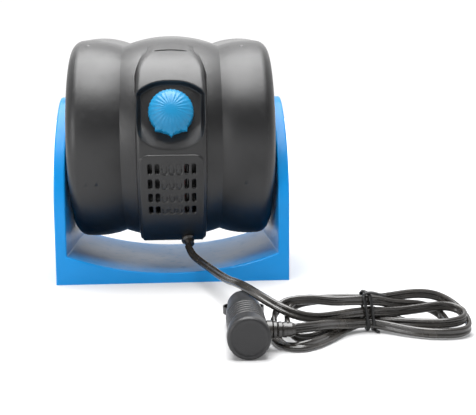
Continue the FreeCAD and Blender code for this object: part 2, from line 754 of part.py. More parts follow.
# ---- Rotor: one shaft through the motor with an impeller on each end ----
def make_impeller(name, sign):
    item = body(f"impeller_{name}")
    rim = dimension("impeller_radius")
    depth = dimension("impeller_end") - dimension("impeller_start")
    plan = sketch_on(item, "XY_Plane", f"impeller_{name}_plate")
    circle_in(plan, 0, 0, rim)
    circle_in(plan, 0, 0, dimension("shaft_radius"))
    feature(item, "Pad", f"impeller_{name}_back", plan, 1.4)
    hub = sketch_on(item, "XY_Plane", f"impeller_{name}_hub_plan")
    circle_in(hub, 0, 0, 6.0)
    circle_in(hub, 0, 0, dimension("shaft_radius"))
    feature(item, "Pad", f"impeller_{name}_hub", hub, 14.0)
    top = Placement(Vector(0, 0, number_of(depth) - 2.0), Rotation())
    ring = sketch_on(item, "XY_Plane", f"impeller_{name}_ring_plan", top)
    circle_in(ring, 0, 0, rim)
    circle_in(ring, 0, 0, rim - 4.0)
    blade_plan = sketch_on(item, "XY_Plane", f"impeller_{name}_blade_plan")
    lean = -4.2 * sign
    bend = 9.0 * sign
    outer = number_of(rim) - 0.3
    inner = outer - 9.0
    thick = 0.9
    outline(blade_plan, [(0, inner), (lean, outer, bend), (lean + thick, outer),
                         (thick, inner, -bend)])
    blade = feature(item, "Pad", f"impeller_{name}_blade", blade_plan, depth - 0.5)
    polar(item, f"impeller_{name}_blades", [blade], 32, blade_plan)
    feature(item, "Pad", f"impeller_{name}_ring", ring, 2.0)
    start = dimension("impeller_start") * sign
    put(item, start, dimension("rotor_forward"), tilt_height - dimension("rotor_drop"),
        ALONG_X if sign > 0 else AGAINST_X)
    return item


def make_motor():
    y, z = dimension("rotor_forward"), tilt_height - dimension("rotor_drop")
    shaft = dimension("shaft_radius")
    case_radius = dimension("motor_radius")
    made = []
    made.append(cylinder("motor_shaft", shaft, 116.0, (-58.0, y, z), ALONG_X))
    made.append(turned("motor_case", [
        (case_radius, 0), (case_radius, 40.0), (5.0, 40.0), (5.0, 43.0), (3.6, 43.0),
        (3.6, 38.8), (case_radius - 1.2, 38.8), (case_radius - 1.2, 0)], (-18.0, y, z), ALONG_X))
    made.append(turned("motor_end_bell", [
        (case_radius, 0), (case_radius, -3.0), (6.0, -3.0), (6.0, -6.0), (3.6, -6.0), (3.6, 1.6),
        (case_radius - 1.2, 1.6), (case_radius - 1.2, 0)], (-18.0, y, z), ALONG_X))
    bearings = []
    for name, x in (("left", -24.0), ("right", 20.4)):
        bearings.append(tube(f"bearing_{name}", 3.6, shaft + running_gap, 4.4, (x, y, z), ALONG_X))
    made.append(group("motor_bearings", bearings))
    magnets = []
    for index, low in enumerate((-60.0, 120.0)):
        ring = tube(f"magnet_ring_{index}", case_radius - 1.2, case_radius - 4.4, 28.0,
                    (-12.0, y, z), ALONG_X)
        ring.Base.Angle = 120.0
        turn = Rotation(Vector(1, 0, 0), low).multiply(ALONG_X)
        put(ring.Base, -12.0, y, z, turn)
        magnets.append(ring)
    made.append(group("motor_magnets", magnets))

    core = tube("core_stock", 12.0, shaft, 22.0, (-9.0, y, z), ALONG_X)
    slots = []
    coils = []
    for index in range(3):
        turn = Rotation(Vector(1, 0, 0), 120.0 * index + 30.0)
        slot_low = turn.multVec(Vector(0, 4.5, -2.2))
        slots.append(box(f"core_slot_{index}", 30.0, 5.2, 4.4,
                         (-14.0, slot_low.y + number_of(y), slot_low.z + number_of(z)), turn))
        mouth = turn.multVec(Vector(0, 9.5, -0.8))
        slots.append(box(f"core_mouth_{index}", 30.0, 4.0, 1.6,
                         (-14.0, mouth.y + number_of(y), mouth.z + number_of(z)), turn))
        coil_low = turn.multVec(Vector(0, 4.7, -2.0))
        coils.append(box(f"coil_{index}", 25.0, 4.8, 4.0,
                         (-10.5, coil_low.y + number_of(y), coil_low.z + number_of(z)), turn))
    made.append(cut("armature_core", core, fuse("core_slots", slots)))
    made.append(group("armature_windings", coils))
    made.append(tube("commutator", 4.4, shaft, 4.6, (-15.6, y, z), ALONG_X))
    brushes = []
    for name, sign in (("upper", 1), ("lower", -1)):
        low = number_of(z) + (4.8 if sign > 0 else -9.8)
        brushes.append(box(f"brush_{name}", 3.0, 3.0, 5.0, (-14.8, y - 1.5, low)))
    made.append(group("motor_brushes", brushes))

    # The motor lies in a cradle between the scroll walls, under a strap.
    block = box("cradle_block", 62.4, 30.0, 14.0, (-31.2, y - 15.0, z - 22.0))
    bed = cylinder("cradle_bed", case_radius, 70.0, (-35.0, y, z), ALONG_X)
    relief = box("cradle_relief", 30.0, 40.0, 20.0, (-15.0, y - 20.0, z - 39.0))
    made.append(cut("motor_cradle", block, fuse("cradle_cuts", [bed, relief])))
    hoop = tube("strap_hoop", case_radius + 1.4, case_radius, 10.0, (-5.0, y, z), ALONG_X)
    upper = box("strap_upper", 10.0, 60.0, 40.0, (-5.0, y - 30.0, z - 8.0))
    arch = common("strap_arch", hoop, upper)
    feet = []
    screws = []
    for name, sign in (("rear", -1), ("front", 1)):
        foot_y = y - 24.0 if sign < 0 else y + (number_of(case_radius) - 1.0)
        feet.append(box(f"strap_foot_{name}", 10.0, 8.0, 1.6, (-5.0, foot_y, z - 8.0)))
        at = (0.0, number_of(y) + sign * 21.0, number_of(z) - 6.4)
        screws.append(screw(f"strap_screw_{name}", 1.2, 6.0, 2.4, 1.6, at,
                            Rotation(Vector(1, 0, 0), 180)))
    trimmed = cut("strap_feet", fuse("strap_feet_stock", feet),
                  cylinder("strap_clear", case_radius, 20.0, (-10.0, y, z), ALONG_X))
    holes = group("strap_holes", [cylinder(f"strap_hole_{name}", 1.2, 10.0,
                                           (0, y + sign * 21.0, z - 14.0))
                                  for name, sign in (("rear", -1), ("front", 1))])
    strap = cut("motor_strap", fuse("strap_stock", [arch, trimmed]), holes)
    made.append(strap)
    made.append(group("strap_screws", screws))
    return made


# ---- Speed knob, its shaft, and the board behind it ----
def make_knob():
    base = number_of(dimension("knob_base"))
    rim = dimension("knob_radius")
    height = number_of(dimension("knob_top")) - base
    dome = arc_radius(number_of(rim) - 3.2, height - 10.8)
    at = on_knob_axis(0, 0, base)
    bore = dimension("control_shaft")
    item = turned("speed_knob", [
        (0, 9.0), (bore, 9.0), (bore, 0), (rim - 0.7, 0), (rim, 1.0), (rim - 0.5, 6.5),
        (rim - 3.2, 10.8, 6.5), (0, height, dome)], tuple(at), KNOB_TURN)
    above_edge = Placement(Vector(0, 0, 1.4), Rotation())
    rib_plan = sketch_on(item, "XY_Plane", "knob_rib_plan", above_edge)
    half_rib, crest = 0.55, rim + 0.35
    outline(rib_plan, [(-half_rib, rim - 1.6), (half_rib, rim - 1.6), (half_rib, crest),
                       (-half_rib, crest)])
    rib = feature(item, "Pad", "knob_rib", rib_plan, 4.6)
    polar(item, "knob_ribs", [rib], 36, rib_plan)
    for index, angle in enumerate((-127.0, -90.0, -53.0)):
        tip = math.radians(angle)
        point = Vector(math.cos(tip), math.sin(tip), 0)
        aside = Vector(-point.y, point.x, 0) * 2.3
        root = number_of(rim) - 1.5
        nub_plan = sketch_on(item, "XY_Plane", f"knob_nub_plan_{index}", above_edge)
        corners = [point * root - aside, point * (root + 3.4), point * root + aside]
        outline(nub_plan, [(c.x, c.y) for c in corners])
        feature(item, "Pad", f"knob_nub_{index}", nub_plan, 6.2)
    shaft_start = on_knob_axis(0, 0, 61.9)
    shaft = cylinder("speed_shaft", dimension("control_shaft"), 22.0, tuple(shaft_start),
                     KNOB_TURN)
    return [item, shaft]


def make_controls():
    bore = dimension("control_shaft") + running_gap
    made = [turned("speed_control", [
        (0, 0), (8.0, 0), (8.0, 7.0), (4.5, 7.0), (4.5, 12.4), (bore, 12.4), (bore, 2.0),
        (0, 2.0)], tuple(on_knob_axis(0, 0, 59.6)), KNOB_TURN)]
    board = body("control_board")
    plan = sketch_on(board, "XY_Plane", "board_plan")
    outline(plan, [(-20.5, -25.0), (20.5, -25.0), (20.5, 20.0), (-20.5, 20.0)])
    screws = []
    for across in (-15.5, 15.5):
        for up in (-17.0, 14.0):
            circle_in(plan, across, up, 1.1)
            tag = f"{'left' if across < 0 else 'right'}_{'low' if up < 0 else 'high'}"
            screws.append(screw(f"board_screw_{tag}", 1.1, 9.0, 2.2, 1.4,
                                tuple(on_knob_axis(across, up, 58.0)), KNOB_TURN))
    feature(board, "Pad", "board_sheet", plan, 1.6)
    at = on_knob_axis(0, 0, 58.0)
    put(board, at.x, at.y, at.z, KNOB_TURN)
    made += [board, group("board_screws", screws)]
    chips = []
    for index, (across, up, wide, deep, tall) in enumerate((
            (-14.0, -8.0, 8.0, 10.0, 3.0), (14.0, -5.0, 6.0, 8.0, 4.5), (0.0, 14.0, 9.0, 5.0, 2.2))):
        low = on_knob_axis(across - wide / 2, up - deep / 2, 59.6)
        chips.append(box(f"chip_{index}", wide, deep, tall, tuple(low), KNOB_TURN))
    made.append(group("board_components", chips))
    return made


# ---- Tubes along straight runs joined by tangent arcs ----
def tube_path(points):
    """The path's wire, its length and the arc radii."""
    edges = []
    radii = []
    length = 0.0
    start = points[0]
    for before, corner, after in zip(points, points[1:], points[2:]):
        first = (corner - before).normalize()
        second = (after - corner).normalize()
        half_turn = first.getAngle(second) / 2
        reach = 0.45 * min((corner - before).Length, (after - corner).Length)
        radius = reach / math.tan(half_turn)
        arc_start = corner - first * reach
        arc_end = corner + second * reach
        inward = (second - first).normalize()
        middle = corner + inward * (radius / math.cos(half_turn) - radius)
        edges.append(Part.LineSegment(start, arc_start).toShape())
        edges.append(Part.Arc(arc_start, middle, arc_end).toShape())
        length += (arc_start - start).Length + radius * 2 * half_turn
        radii.append(radius)
        start = arc_end
    edges.append(Part.LineSegment(start, points[-1]).toShape())
    length += (points[-1] - start).Length
    return Part.Wire(edges), length, radii


def tube_along(label, points, radius):
    path, length, radii = tube_path([Vector(*point) for point in points])
    heading = path.Edges[0].tangentAt(path.Edges[0].FirstParameter)
    ring = Part.Wire([Part.Circle(Vector(*points[0]), heading, radius).toShape()])
    solid = path.makePipeShell([ring], True, True)
    expected = math.pi * radius ** 2 * length
    print(f"{label}: length {length:.1f} mm, radii {[round(r, 1) for r in radii]}, "
          f"volume {solid.Volume:.1f} against {expected:.1f}")
    return free_shape(label, solid)


def make_inner_wiring():
    """The two pairs of thin leads inside the head."""
    made = []
    motor_runs = []
    for name, lift in (("upper", 4.0), ("lower", -4.0)):
        start = on_knob_axis(-12.0, 8.0 + lift, 58.0)
        second = on_knob_axis(-16.0, 8.0 + lift, 46.0)
        motor_runs.append((name, [tuple(start), tuple(second), (-25.0, -26.0, 103.0 + lift),
                                  (-27.0, -10.0, 99.0 + lift), (-21.0, -4.0, 98.0 + lift)]))
    for name, run in motor_runs:
        made.append(tube_along(f"motor_lead_{name}", run, 0.9))
    inner_end = GLAND_SEAT - GLAND_AXIS * 3.4
    for name, shift in (("left", -1.3), ("right", 1.3)):
        across = number_of(dimension("gland_across")) + shift - 0.8
        run = [tuple(inner_end + Vector(shift, 0, 0))]
        run += [tuple(from_axis(across, angle, 77.9)) for angle in (-50.0, -38.0, -26.0, -14.0)]
        run += [tuple(on_knob_axis(across, -26.5, 70.5)), tuple(on_knob_axis(across, -22.0, 59.6))]
        made.append(tube_along(f"supply_lead_{name}", run, 0.9))
    return made


def make_fasteners():
    cover_screws = []
    pivot_screws = []
    for name, sign, inward in (("left", -1, ALONG_X), ("right", 1, AGAINST_X)):
        seat_x = (number_of(half_length) - 2.0) * sign
        for index, (angle, radius) in enumerate(POST_PLACES):
            at = post_point(seat_x, angle, radius)
            cover_screws.append(screw(f"cover_screw_{index}_{name}", 1.5, 12.0, 2.9, 1.7,
                                      tuple(at), inward))
        seat = (number_of(stand_half) - 3.7) * sign
        pivot_screws.append(screw(f"pivot_screw_{name}", number_of(pivot_radius), 20.0, 6.8, 2.5,
                                  (seat, 0.0, number_of(tilt_height)), inward))
    return [group("side_cover_screws", cover_screws), group("pivot_screws", pivot_screws)]


def make_gland():
    reach = dimension("gland_reach")
    start = GLAND_SEAT - GLAND_AXIS * 3.4
    return turned("cord_gland", [(0, 0), (4.2, 0), (4.2, 4.6), (4.9, 4.6), (4.9, 6.2),
                                 (3.7, 7.4), (3.2, reach + 3.4), (0, reach + 3.4)],
                  tuple(start), along(GLAND_AXIS))


# ---- 12 V plug: its own axis runs from the round end cap to the nose ----
PLUG_END = Vector(37.7, -238.5, 11.0)
PLUG_AXIS = Vector(0.035, 0.9992, -0.022).normalize()
PLUG_TURN = Rotation(Vector(), Vector(0, 0, 1), PLUG_AXIS, "ZYX")
SLEEVE_HEIGHT = 17.0
SLEEVE_START, SLEEVE_LENGTH = 8.2, 16.0


def in_plug(x, y, height):
    return PLUG_END + PLUG_TURN.multVec(Vector(x, y, height))


def make_plug():
    origin = tuple(in_plug(0, 0, 0))
    cap_radius = dimension("plug_cap_radius")
    back = dimension("plug_body_radius")
    barrel = dimension("plug_barrel_radius")
    pin = dimension("pin_radius")
    made = [turned("plug_end_cap", [
        (0, 0), (cap_radius - 2.4, 0.3), (cap_radius, 1.8), (cap_radius, 8.0),
        (cap_radius - 1.0, 9.0), (0, 9.0)], origin, PLUG_TURN)]
    grooves = []
    for index in range(5):
        low = 28.0 + index * 4.2
        grooves += [(barrel, low), (barrel - 0.7, low), (barrel - 0.7, low + 1.3),
                    (barrel, low + 1.3)]
    form = turned("plug_form", [(7.0, 9.0), (back, 9.0), (back, 24.5), (barrel, 26.0)] + grooves + [
        (barrel, 66.0), (7.4, 76.0), (4.4, 76.0), (4.4, 72.0), (7.0, 72.0)], origin, PLUG_TURN)
    windows = [box(f"contact_window_{name}", 6.0, 5.0, 16.0, tuple(in_plug(x, -2.5, 55.0)),
                   PLUG_TURN) for name, x in (("left", 5.0), ("right", -11.0))]
    sleeve_turn = PLUG_TURN.multiply(Rotation(Vector(0, 1, 0), -90))
    sleeve_hole = cylinder("sleeve_hole", 4.3, 12.0, tuple(in_plug(-4.0, 0, SLEEVE_HEIGHT)),
                           sleeve_turn)
    open_form = cut("plug_open_form", form, fuse("plug_openings", windows + [sleeve_hole]))
    upper_half = box("plug_upper_half", 40, 20, 90, tuple(in_plug(-20, 0, 0)), PLUG_TURN)
    made.append(common("plug_shell_upper", open_form, upper_half))
    made.append(cut("plug_shell_lower", open_form, upper_half))
    made.append(turned("plug_nose_ring", [(4.4, 76.0), (7.2, 76.0), (6.3, dimension("plug_length")),
                                          (4.4, dimension("plug_length"))], origin, PLUG_TURN))
    made.append(turned("centre_pin", [
        (0, 70.0), (5.2, 70.0), (5.2, 71.7), (pin, 71.7), (pin, 82.5), (pin - 1.3, 84.3),
        (0, 84.3)], origin, PLUG_TURN))
    made.append(cylinder("fuse_glass", 2.7, 22.0, tuple(in_plug(0, 0, 44.0)), PLUG_TURN))
    made.append(group("fuse_caps", [
        cylinder(f"fuse_cap_{name}", 3.1, 4.0, tuple(in_plug(0, 0, low)), PLUG_TURN)
        for name, low in (("rear", 40.0), ("front", 66.0))]))
    made.append(cylinder("spring_seat", 7.0, 1.5, tuple(in_plug(0, 0, 26.5)), PLUG_TURN))
    spring_radius, wire = 3.6, 0.4
    coil = Part.makeHelix(2.0, 10.4, spring_radius)
    ring = Part.Wire([Part.Circle(Vector(spring_radius, 0, 0), Vector(0, 1, 0), wire).toShape()])
    spring = Part.Wire(coil).makePipeShell([ring], True, True)
    at = in_plug(0, 0, 28.5)
    made.append(free_shape("contact_spring", spring, at.x, at.y, at.z, PLUG_TURN))
    outer_bow = arc_radius(7.4, 4.2)
    inner_bow = arc_radius(6.4, 3.6)
    for name, turn in (("left", PLUG_TURN),
                       ("right", PLUG_TURN.multiply(Rotation(Vector(0, 0, 1), 180)))):
        leaf = body(f"side_contact_{name}")
        bow = sketch_on(leaf, "XZ_Plane", f"side_contact_{name}_bow")
        outline(bow, [(7.4, 55.6), (7.4, 70.4, outer_bow), (7.4, 69.4), (7.4, 56.6, -inner_bow)])
        feature(leaf, "Pad", f"side_contact_{name}_leaf", bow, 4.0, symmetric=True)
        put(leaf, *origin, turn)
        made.append(leaf)
    ribs = []
    for index in range(4):
        low = 5.0 + index * 2.6
        ribs += [(4.4 - index * 0.2, low), (4.4 - index * 0.2, low + 1.5), (3.6, low + 1.6)]
    made.append(turned("plug_strain_relief", [(0, 0), (4.3, 0), (4.3, 1.6), (4.9, 1.6), (4.9, 4.2),
                                              (3.6, 4.4)] + ribs + [
        (3.1, SLEEVE_LENGTH), (0, SLEEVE_LENGTH)], tuple(in_plug(-SLEEVE_START, 0, SLEEVE_HEIGHT)),
        sleeve_turn))
    return made


# ---- Lead: a free run from the gland, a tied hank, and a short tail to the plug ----
def make_cord():
    radius = number_of(dimension("lead_radius"))
    start = GLAND_SEAT + GLAND_AXIS * number_of(dimension("gland_reach"))
    route = [tuple(start), tuple(start + GLAND_AXIS * 9.2), (18.0, -66.0, 16.5), (23.0, -85.0, 15.0),
             (28.5, -108.0, 14.5), (32.5, -131.0, 17.5), (35.0, -153.0, 22.5),
             (38.0, -171.0, 26.5), (43.5, -188.0, 27.0), (52.0, -200.0, 23.5),
             (62.0, -205.0, 17.5), (71.0, -203.0, 12.5)]
    made = [tube_along("cord_lead", route, radius)]
    tail_start = in_plug(-SLEEVE_START - SLEEVE_LENGTH, 0, SLEEVE_HEIGHT)
    tail = [tuple(tail_start), (70.5, -222.0, 9.8), (77.5, -219.0, 8.8), (83.5, -213.5, 8.0)]
    made.append(tube_along("cord_tail", tail, radius))

    # The hank's outer shape: leaning ellipses, each with its centre, its half length and half
    # thickness, and how far its long axis leans up towards the back.
    sections = [(63.0, -208.5, 11.6, 13.0, 6.6, 32), (67, -209.0, 12.1, 18.0, 7.3, 32),
                (76, -208.0, 12.1, 18.2, 7.4, 33), (88, -200.5, 11.8, 13.5, 6.8, 42),
                (98, -194.5, 11.4, 10.6, 5.4, 65), (107, -192.2, 11.4, 9.7, 5.0, 90),
                (116, -192.8, 11.2, 9.9, 5.2, 62), (127, -196.0, 11.4, 12.6, 6.4, 42),
                (140, -200.0, 11.8, 17.4, 7.2, 32), (152, -201.5, 11.6, 17.6, 7.2, 31),
                (161, -201.0, 10.8, 14.0, 6.4, 31), (166.5, -200.5, 9.8, 7.0, 4.2, 31)]

    def oval(x, y, z, half_long, half_short, lean):
        points = []
        for step in range(16):
            turn = math.radians(step * 22.5)
            off = turn - math.radians(lean)
            reach = 1 / math.hypot(math.cos(off) / half_long, math.sin(off) / half_short)
            points.append(Vector(x, y + reach * math.cos(turn), z + reach * math.sin(turn)))
        curve = Part.BSplineCurve()
        curve.interpolate(points, PeriodicFlag=True)
        return Part.Wire([curve.toShape()])

    hank_shape = Part.makeLoft([oval(*section) for section in sections], True, False)
    made.append(free_shape("cord_hank", hank_shape))

    x, y, z, half_long, half_short, lean = sections[5]
    band = Part.Face(oval(x - 2.5, y, z, half_long + 1.2, half_short + 1.2, lean))
    made.append(free_shape("twist_tie", band.extrude(Vector(5.0, 0, 0)).cut(hank_shape)))
    return made


def main():
    parts = [make_stand_bracket()] + make_stand_fittings()
    parts += make_head_shells()
    outside = doc.getObject("head_outside")
    inside = doc.getObject("head_inside")
    parts += [make_control_cover(outside), make_outlet_grille(inside)]
    parts += make_scroll_walls(inside)
    parts += [make_impeller("left", -1), make_impeller("right", 1)]
    parts += make_motor() + make_knob() + make_controls() + make_inner_wiring()
    parts += make_fasteners() + [make_gland()] + make_plug() + make_cord()
    doc.recompute()

    faults = [item.Name for item in doc.Objects
              if "Invalid" in item.State or "Error" in item.State]
    for item in parts:
        shape = item.Shape
        if shape.isNull() or not shape.isValid() or not shape.Solids:
            faults.append(f"{item.Name} shape")
    if faults:
        raise SystemExit(f"faults: {faults}")
    os.makedirs("parts", exist_ok=True)
    for item in parts:
        item.Shape.exportStep(f"parts/{item.Name}.step")
        print(f"{item.Name}: {len(item.Shape.Solids)} solids, {item.Shape.Volume:.0f} mm3")


main()
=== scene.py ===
"""A small vehicle blower: camera, light, materials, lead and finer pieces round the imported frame."""
import json
import math

import bpy
from mathutils import Matrix, Vector


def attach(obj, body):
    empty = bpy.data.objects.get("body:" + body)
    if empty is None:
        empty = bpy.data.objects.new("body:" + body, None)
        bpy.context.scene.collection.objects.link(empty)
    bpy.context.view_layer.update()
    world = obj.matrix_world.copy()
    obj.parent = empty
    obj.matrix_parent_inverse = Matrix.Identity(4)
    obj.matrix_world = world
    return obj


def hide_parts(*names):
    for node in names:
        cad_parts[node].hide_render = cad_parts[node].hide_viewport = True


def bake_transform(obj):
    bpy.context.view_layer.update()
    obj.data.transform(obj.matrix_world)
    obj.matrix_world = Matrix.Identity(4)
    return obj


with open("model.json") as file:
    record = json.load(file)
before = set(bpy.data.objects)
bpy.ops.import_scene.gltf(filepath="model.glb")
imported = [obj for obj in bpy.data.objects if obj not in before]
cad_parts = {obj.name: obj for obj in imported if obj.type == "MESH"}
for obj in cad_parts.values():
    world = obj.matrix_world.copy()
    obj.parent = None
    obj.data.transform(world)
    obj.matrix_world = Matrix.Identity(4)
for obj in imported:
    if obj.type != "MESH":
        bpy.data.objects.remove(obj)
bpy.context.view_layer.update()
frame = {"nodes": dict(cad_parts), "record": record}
nodes = frame["nodes"]
scene = bpy.context.scene
MM = 0.001


# ---- Camera: turned to the right of straight ahead and tipped down, in radians ----
CAMERA_YAW, CAMERA_PITCH, CAMERA_ROLL = 0.0740, 0.1265, -0.0069
CAMERA_PLACE = Vector((5.10, -609.06, 123.02))
SENSOR_WIDTH, FOCAL_LENGTH = 36.0, 59.52


def aim_camera():
    forward = Vector((math.sin(CAMERA_YAW) * math.cos(CAMERA_PITCH),
                      math.cos(CAMERA_YAW) * math.cos(CAMERA_PITCH), -math.sin(CAMERA_PITCH)))
    level = Vector((math.cos(CAMERA_YAW), -math.sin(CAMERA_YAW), 0.0))
    upright = level.cross(forward)
    across = level * math.cos(CAMERA_ROLL) + upright * math.sin(CAMERA_ROLL)
    above = upright * math.cos(CAMERA_ROLL) - level * math.sin(CAMERA_ROLL)
    data = bpy.data.cameras.new("camera")
    data.sensor_width = SENSOR_WIDTH
    data.lens = FOCAL_LENGTH
    data.clip_start = 0.01
    camera = bpy.data.objects.new("camera", data)
    facing = Matrix((across, above, -forward)).transposed().to_4x4()
    camera.matrix_world = Matrix.Translation(CAMERA_PLACE * MM) @ facing
    scene.collection.objects.link(camera)
    scene.camera = camera


# ---- Mesh helpers ----
def mesh_object(name, vertices, faces, smooth=True):
    """A new object in the scene, from vertices in metres."""
    mesh = bpy.data.meshes.new(name)
    mesh.from_pydata([tuple(v) for v in vertices], [], faces)
    mesh.validate()
    mesh.polygons.foreach_set("use_smooth", [smooth] * len(mesh.polygons))
    obj = bpy.data.objects.new(name, mesh)
    scene.collection.objects.link(obj)
    return obj


def follow(name, route):
    """Points along the smooth spline that a route, in millimetres, controls."""
    curve = bpy.data.curves.new(name, "CURVE")
    curve.dimensions = "3D"
    spline = curve.splines.new("NURBS")
    spline.points.add(len(route) - 1)
    for point, place in zip(spline.points, route):
        point.co = (place[0] * MM, place[1] * MM, place[2] * MM, 1.0)
    spline.order_u = 3
    spline.use_endpoint_u = True
    spline.resolution_u = 12
    guide = bpy.data.objects.new(name, curve)
    scene.collection.objects.link(guide)
    bpy.context.view_layer.update()
    line_mesh = bpy.data.meshes.new_from_object(
        guide.evaluated_get(bpy.context.evaluated_depsgraph_get()))
    line = [vertex.co.copy() for vertex in line_mesh.vertices]
    line = line[:1] + [b for a, b in zip(line, line[1:]) if (b - a).length > 1e-6]
    bpy.data.objects.remove(guide)
    bpy.data.curves.remove(curve)
    bpy.data.meshes.remove(line_mesh)
    return line


def ring_faces(rings, around):
    """The faces that join closed rings of vertices, each ring to the next."""
    faces = []
    for r in range(rings - 1):
        for k in range(around):
            a, b = r * around + k, r * around + (k + 1) % around
            faces.append((a, b, b + around, a + around))
    return faces


def sweep(name, places, rolls, profile):
    """A tube of one closed profile along a line; roll 0 stands the profile's width upright."""
    vertices = []
    size = len(profile)
    for k, place in enumerate(places):
        ahead = places[min(k + 1, len(places) - 1)] - places[max(k - 1, 0)]
        ahead.normalize()
        upright = (Vector((0, 0, 1)) - ahead * ahead.z).normalized()
        aside = ahead.cross(upright)
        turn = math.radians(rolls[k])
        wide = upright * math.cos(turn) + aside * math.sin(turn)
        thin = ahead.cross(wide)
        vertices += [place + (wide * w + thin * t) * MM for w, t in profile]
    faces = ring_faces(len(places), size)
    last = len(vertices) - size
    faces.append(tuple(range(size))[::-1])
    faces.append(tuple(range(last, last + size)))
    return mesh_object(name, vertices, faces)


# ---- Lead: a flat two-core cord; each point is x, y, z in millimetres and a roll in degrees ----
CORE_RADIUS = 1.4
CORE_OFFSET = 1.32
FREE_RUN = [
    (10.4, -45.0, 24.2, -35), (12.6, -51.6, 18.8, -40), (18.5, -62.5, 15.6, -40),
    (25.2, -85, 14.6, -38), (30.7, -110, 15.0, -38), (34.4, -134, 17.2, -44),
    (37.6, -156, 20.6, -52), (41.6, -175, 22.2, -58), (47.6, -191, 20.8, -42),
    (56.5, -202, 17.2, -26), (66, -206.5, 13.6, -12), (76, -204.5, 11.2, -4),
    (88, -199.5, 10.8, 0), (98, -195.6, 11.2, 0)]
HANK = [
    # First right-hand turn, across the middle of the hank
    (107, -194.1, 11.4, 0), (115.3, -193.6, 10.8, 0), (125.5, -192.6, 10.8, 0),
    (135.7, -191.6, 11.6, 0), (145.4, -190.9, 12.6, 0), (153.2, -190.8, 12.6, 0),
    (158.4, -194.0, 11.4, 0), (159.6, -200.6, 9.8, 0), (155.8, -206.8, 8.6, 0),
    (146.8, -208.8, 7.6, 0), (135.7, -206.4, 7.2, 0), (124.6, -200.4, 6.4, 0),
    (114.9, -193.6, 5.4, 0),
    # Outer left-hand turn, which lies flat as it passes under the plug's sleeve
    (107, -190.4, 5.2, 0), (99.5, -191.6, 3.4, 45), (93, -197.5, 2.1, 90), (86.5, -206.5, 2.4, 70),
    (79.5, -216.5, 3.2, 20), (71.5, -224.5, 3.3, 10), (63, -226.8, 2.6, 60),
    (56.6, -221.0, 1.9, 90), (53.8, -212.0, 2.8, 70), (53.2, -203.5, 7, 40),
    (55.2, -196.0, 12.4, 10), (60.2, -192.6, 17, 0), (68, -192.0, 18.4, 0),
    (78, -193.0, 18.8, 0), (88, -194.2, 17.6, 0), (98, -194.6, 18, 0),
    # Inner right-hand turn
    (107, -194.1, 17.6, 0), (114, -192.2, 16.8, 0), (121.3, -189.6, 14.4, 0),
    (130.1, -188.0, 13.4, 0), (138.9, -187.2, 12.4, 0), (146.0, -186.6, 9.8, 0),
    (150.4, -189.4, 6.6, 0), (151.4, -196.6, 4.2, 0), (147.4, -202.6, 3.8, 0),
    (138.6, -202.6, 4.0, 0), (129.7, -197.2, 4.4, 0), (122.3, -191.6, 6.2, 0),
    (114.4, -189.6, 9.6, 0),
    # Inner left-hand turn
    (107, -190.4, 11.4, 0), (99, -190.4, 8.2, 0), (91.5, -194.0, 6.2, 0), (84, -202.5, 4.4, 0),
    (76.5, -211.5, 3.5, 0), (69.5, -216.6, 3.5, 0), (63.8, -214.6, 4.4, 0),
    (61, -208.0, 7.4, 0), (61, -200.5, 11.2, 0), (64, -193.5, 14.4, 0),
    (70, -188.6, 16, 0), (79, -186.8, 16.8, 0), (89, -187.4, 17.4, 0), (98.5, -189.2, 17.8, 0),
    # Outer right-hand turn
    (107, -190.4, 17.4, 0), (115, -188.8, 17.4, 0), (121.8, -186.8, 17.6, 0),
    (130.1, -185.2, 18.4, 0), (139.4, -184.4, 18.6, 0), (147.6, -184.8, 17.4, 0),
    (154.4, -187.4, 14.4, 0), (159.8, -192.8, 10.0, 0), (161.4, -201.0, 6.2, 0),
    (158.8, -208.6, 4.0, 0), (151.6, -212.6, 3.4, 0), (142.6, -213.0, 3.4, 0),
    (133.4, -210.8, 3.4, 0), (124.1, -204.6, 3.7, 0), (115.3, -197.8, 4.4, 0)]
TAIL = [
    (107, -194.1, 5.2, 0), (99, -196.2, 5.3, 0), (91, -202.5, 7, 0), (82, -210.5, 9.4, 0),
    (72.5, -216.8, 10.2, 0), (61.6, -219.6, 10.2, 0)]


def two_core_profile():
    """The outline of two round cores side by side, which meet at a narrow waist."""
    outline = []
    for side in (1, -1):
        for k in range(13):
            angle = math.radians(-138 + 23 * k)
            outline.append((side * (CORE_OFFSET + CORE_RADIUS * math.cos(angle)),
                            side * CORE_RADIUS * math.sin(angle)))
    return outline


def make_lead():
    """The lead, the points of its centreline, and its length in metres."""
    route = FREE_RUN + HANK + TAIL
    line = follow("lead_line", route)
    rolls = []
    for k in range(len(line)):
        at = 0.5 + (len(route) - 2) * k / (len(line) - 1)
        low = min(int(at), len(route) - 2)
        rolls.append(route[low][3] * (1 + low - at) + route[low + 1][3] * (at - low))
    length = sum((b - a).length for a, b in zip(line, line[1:]))
    return sweep("lead", line, rolls, two_core_profile()), line, length


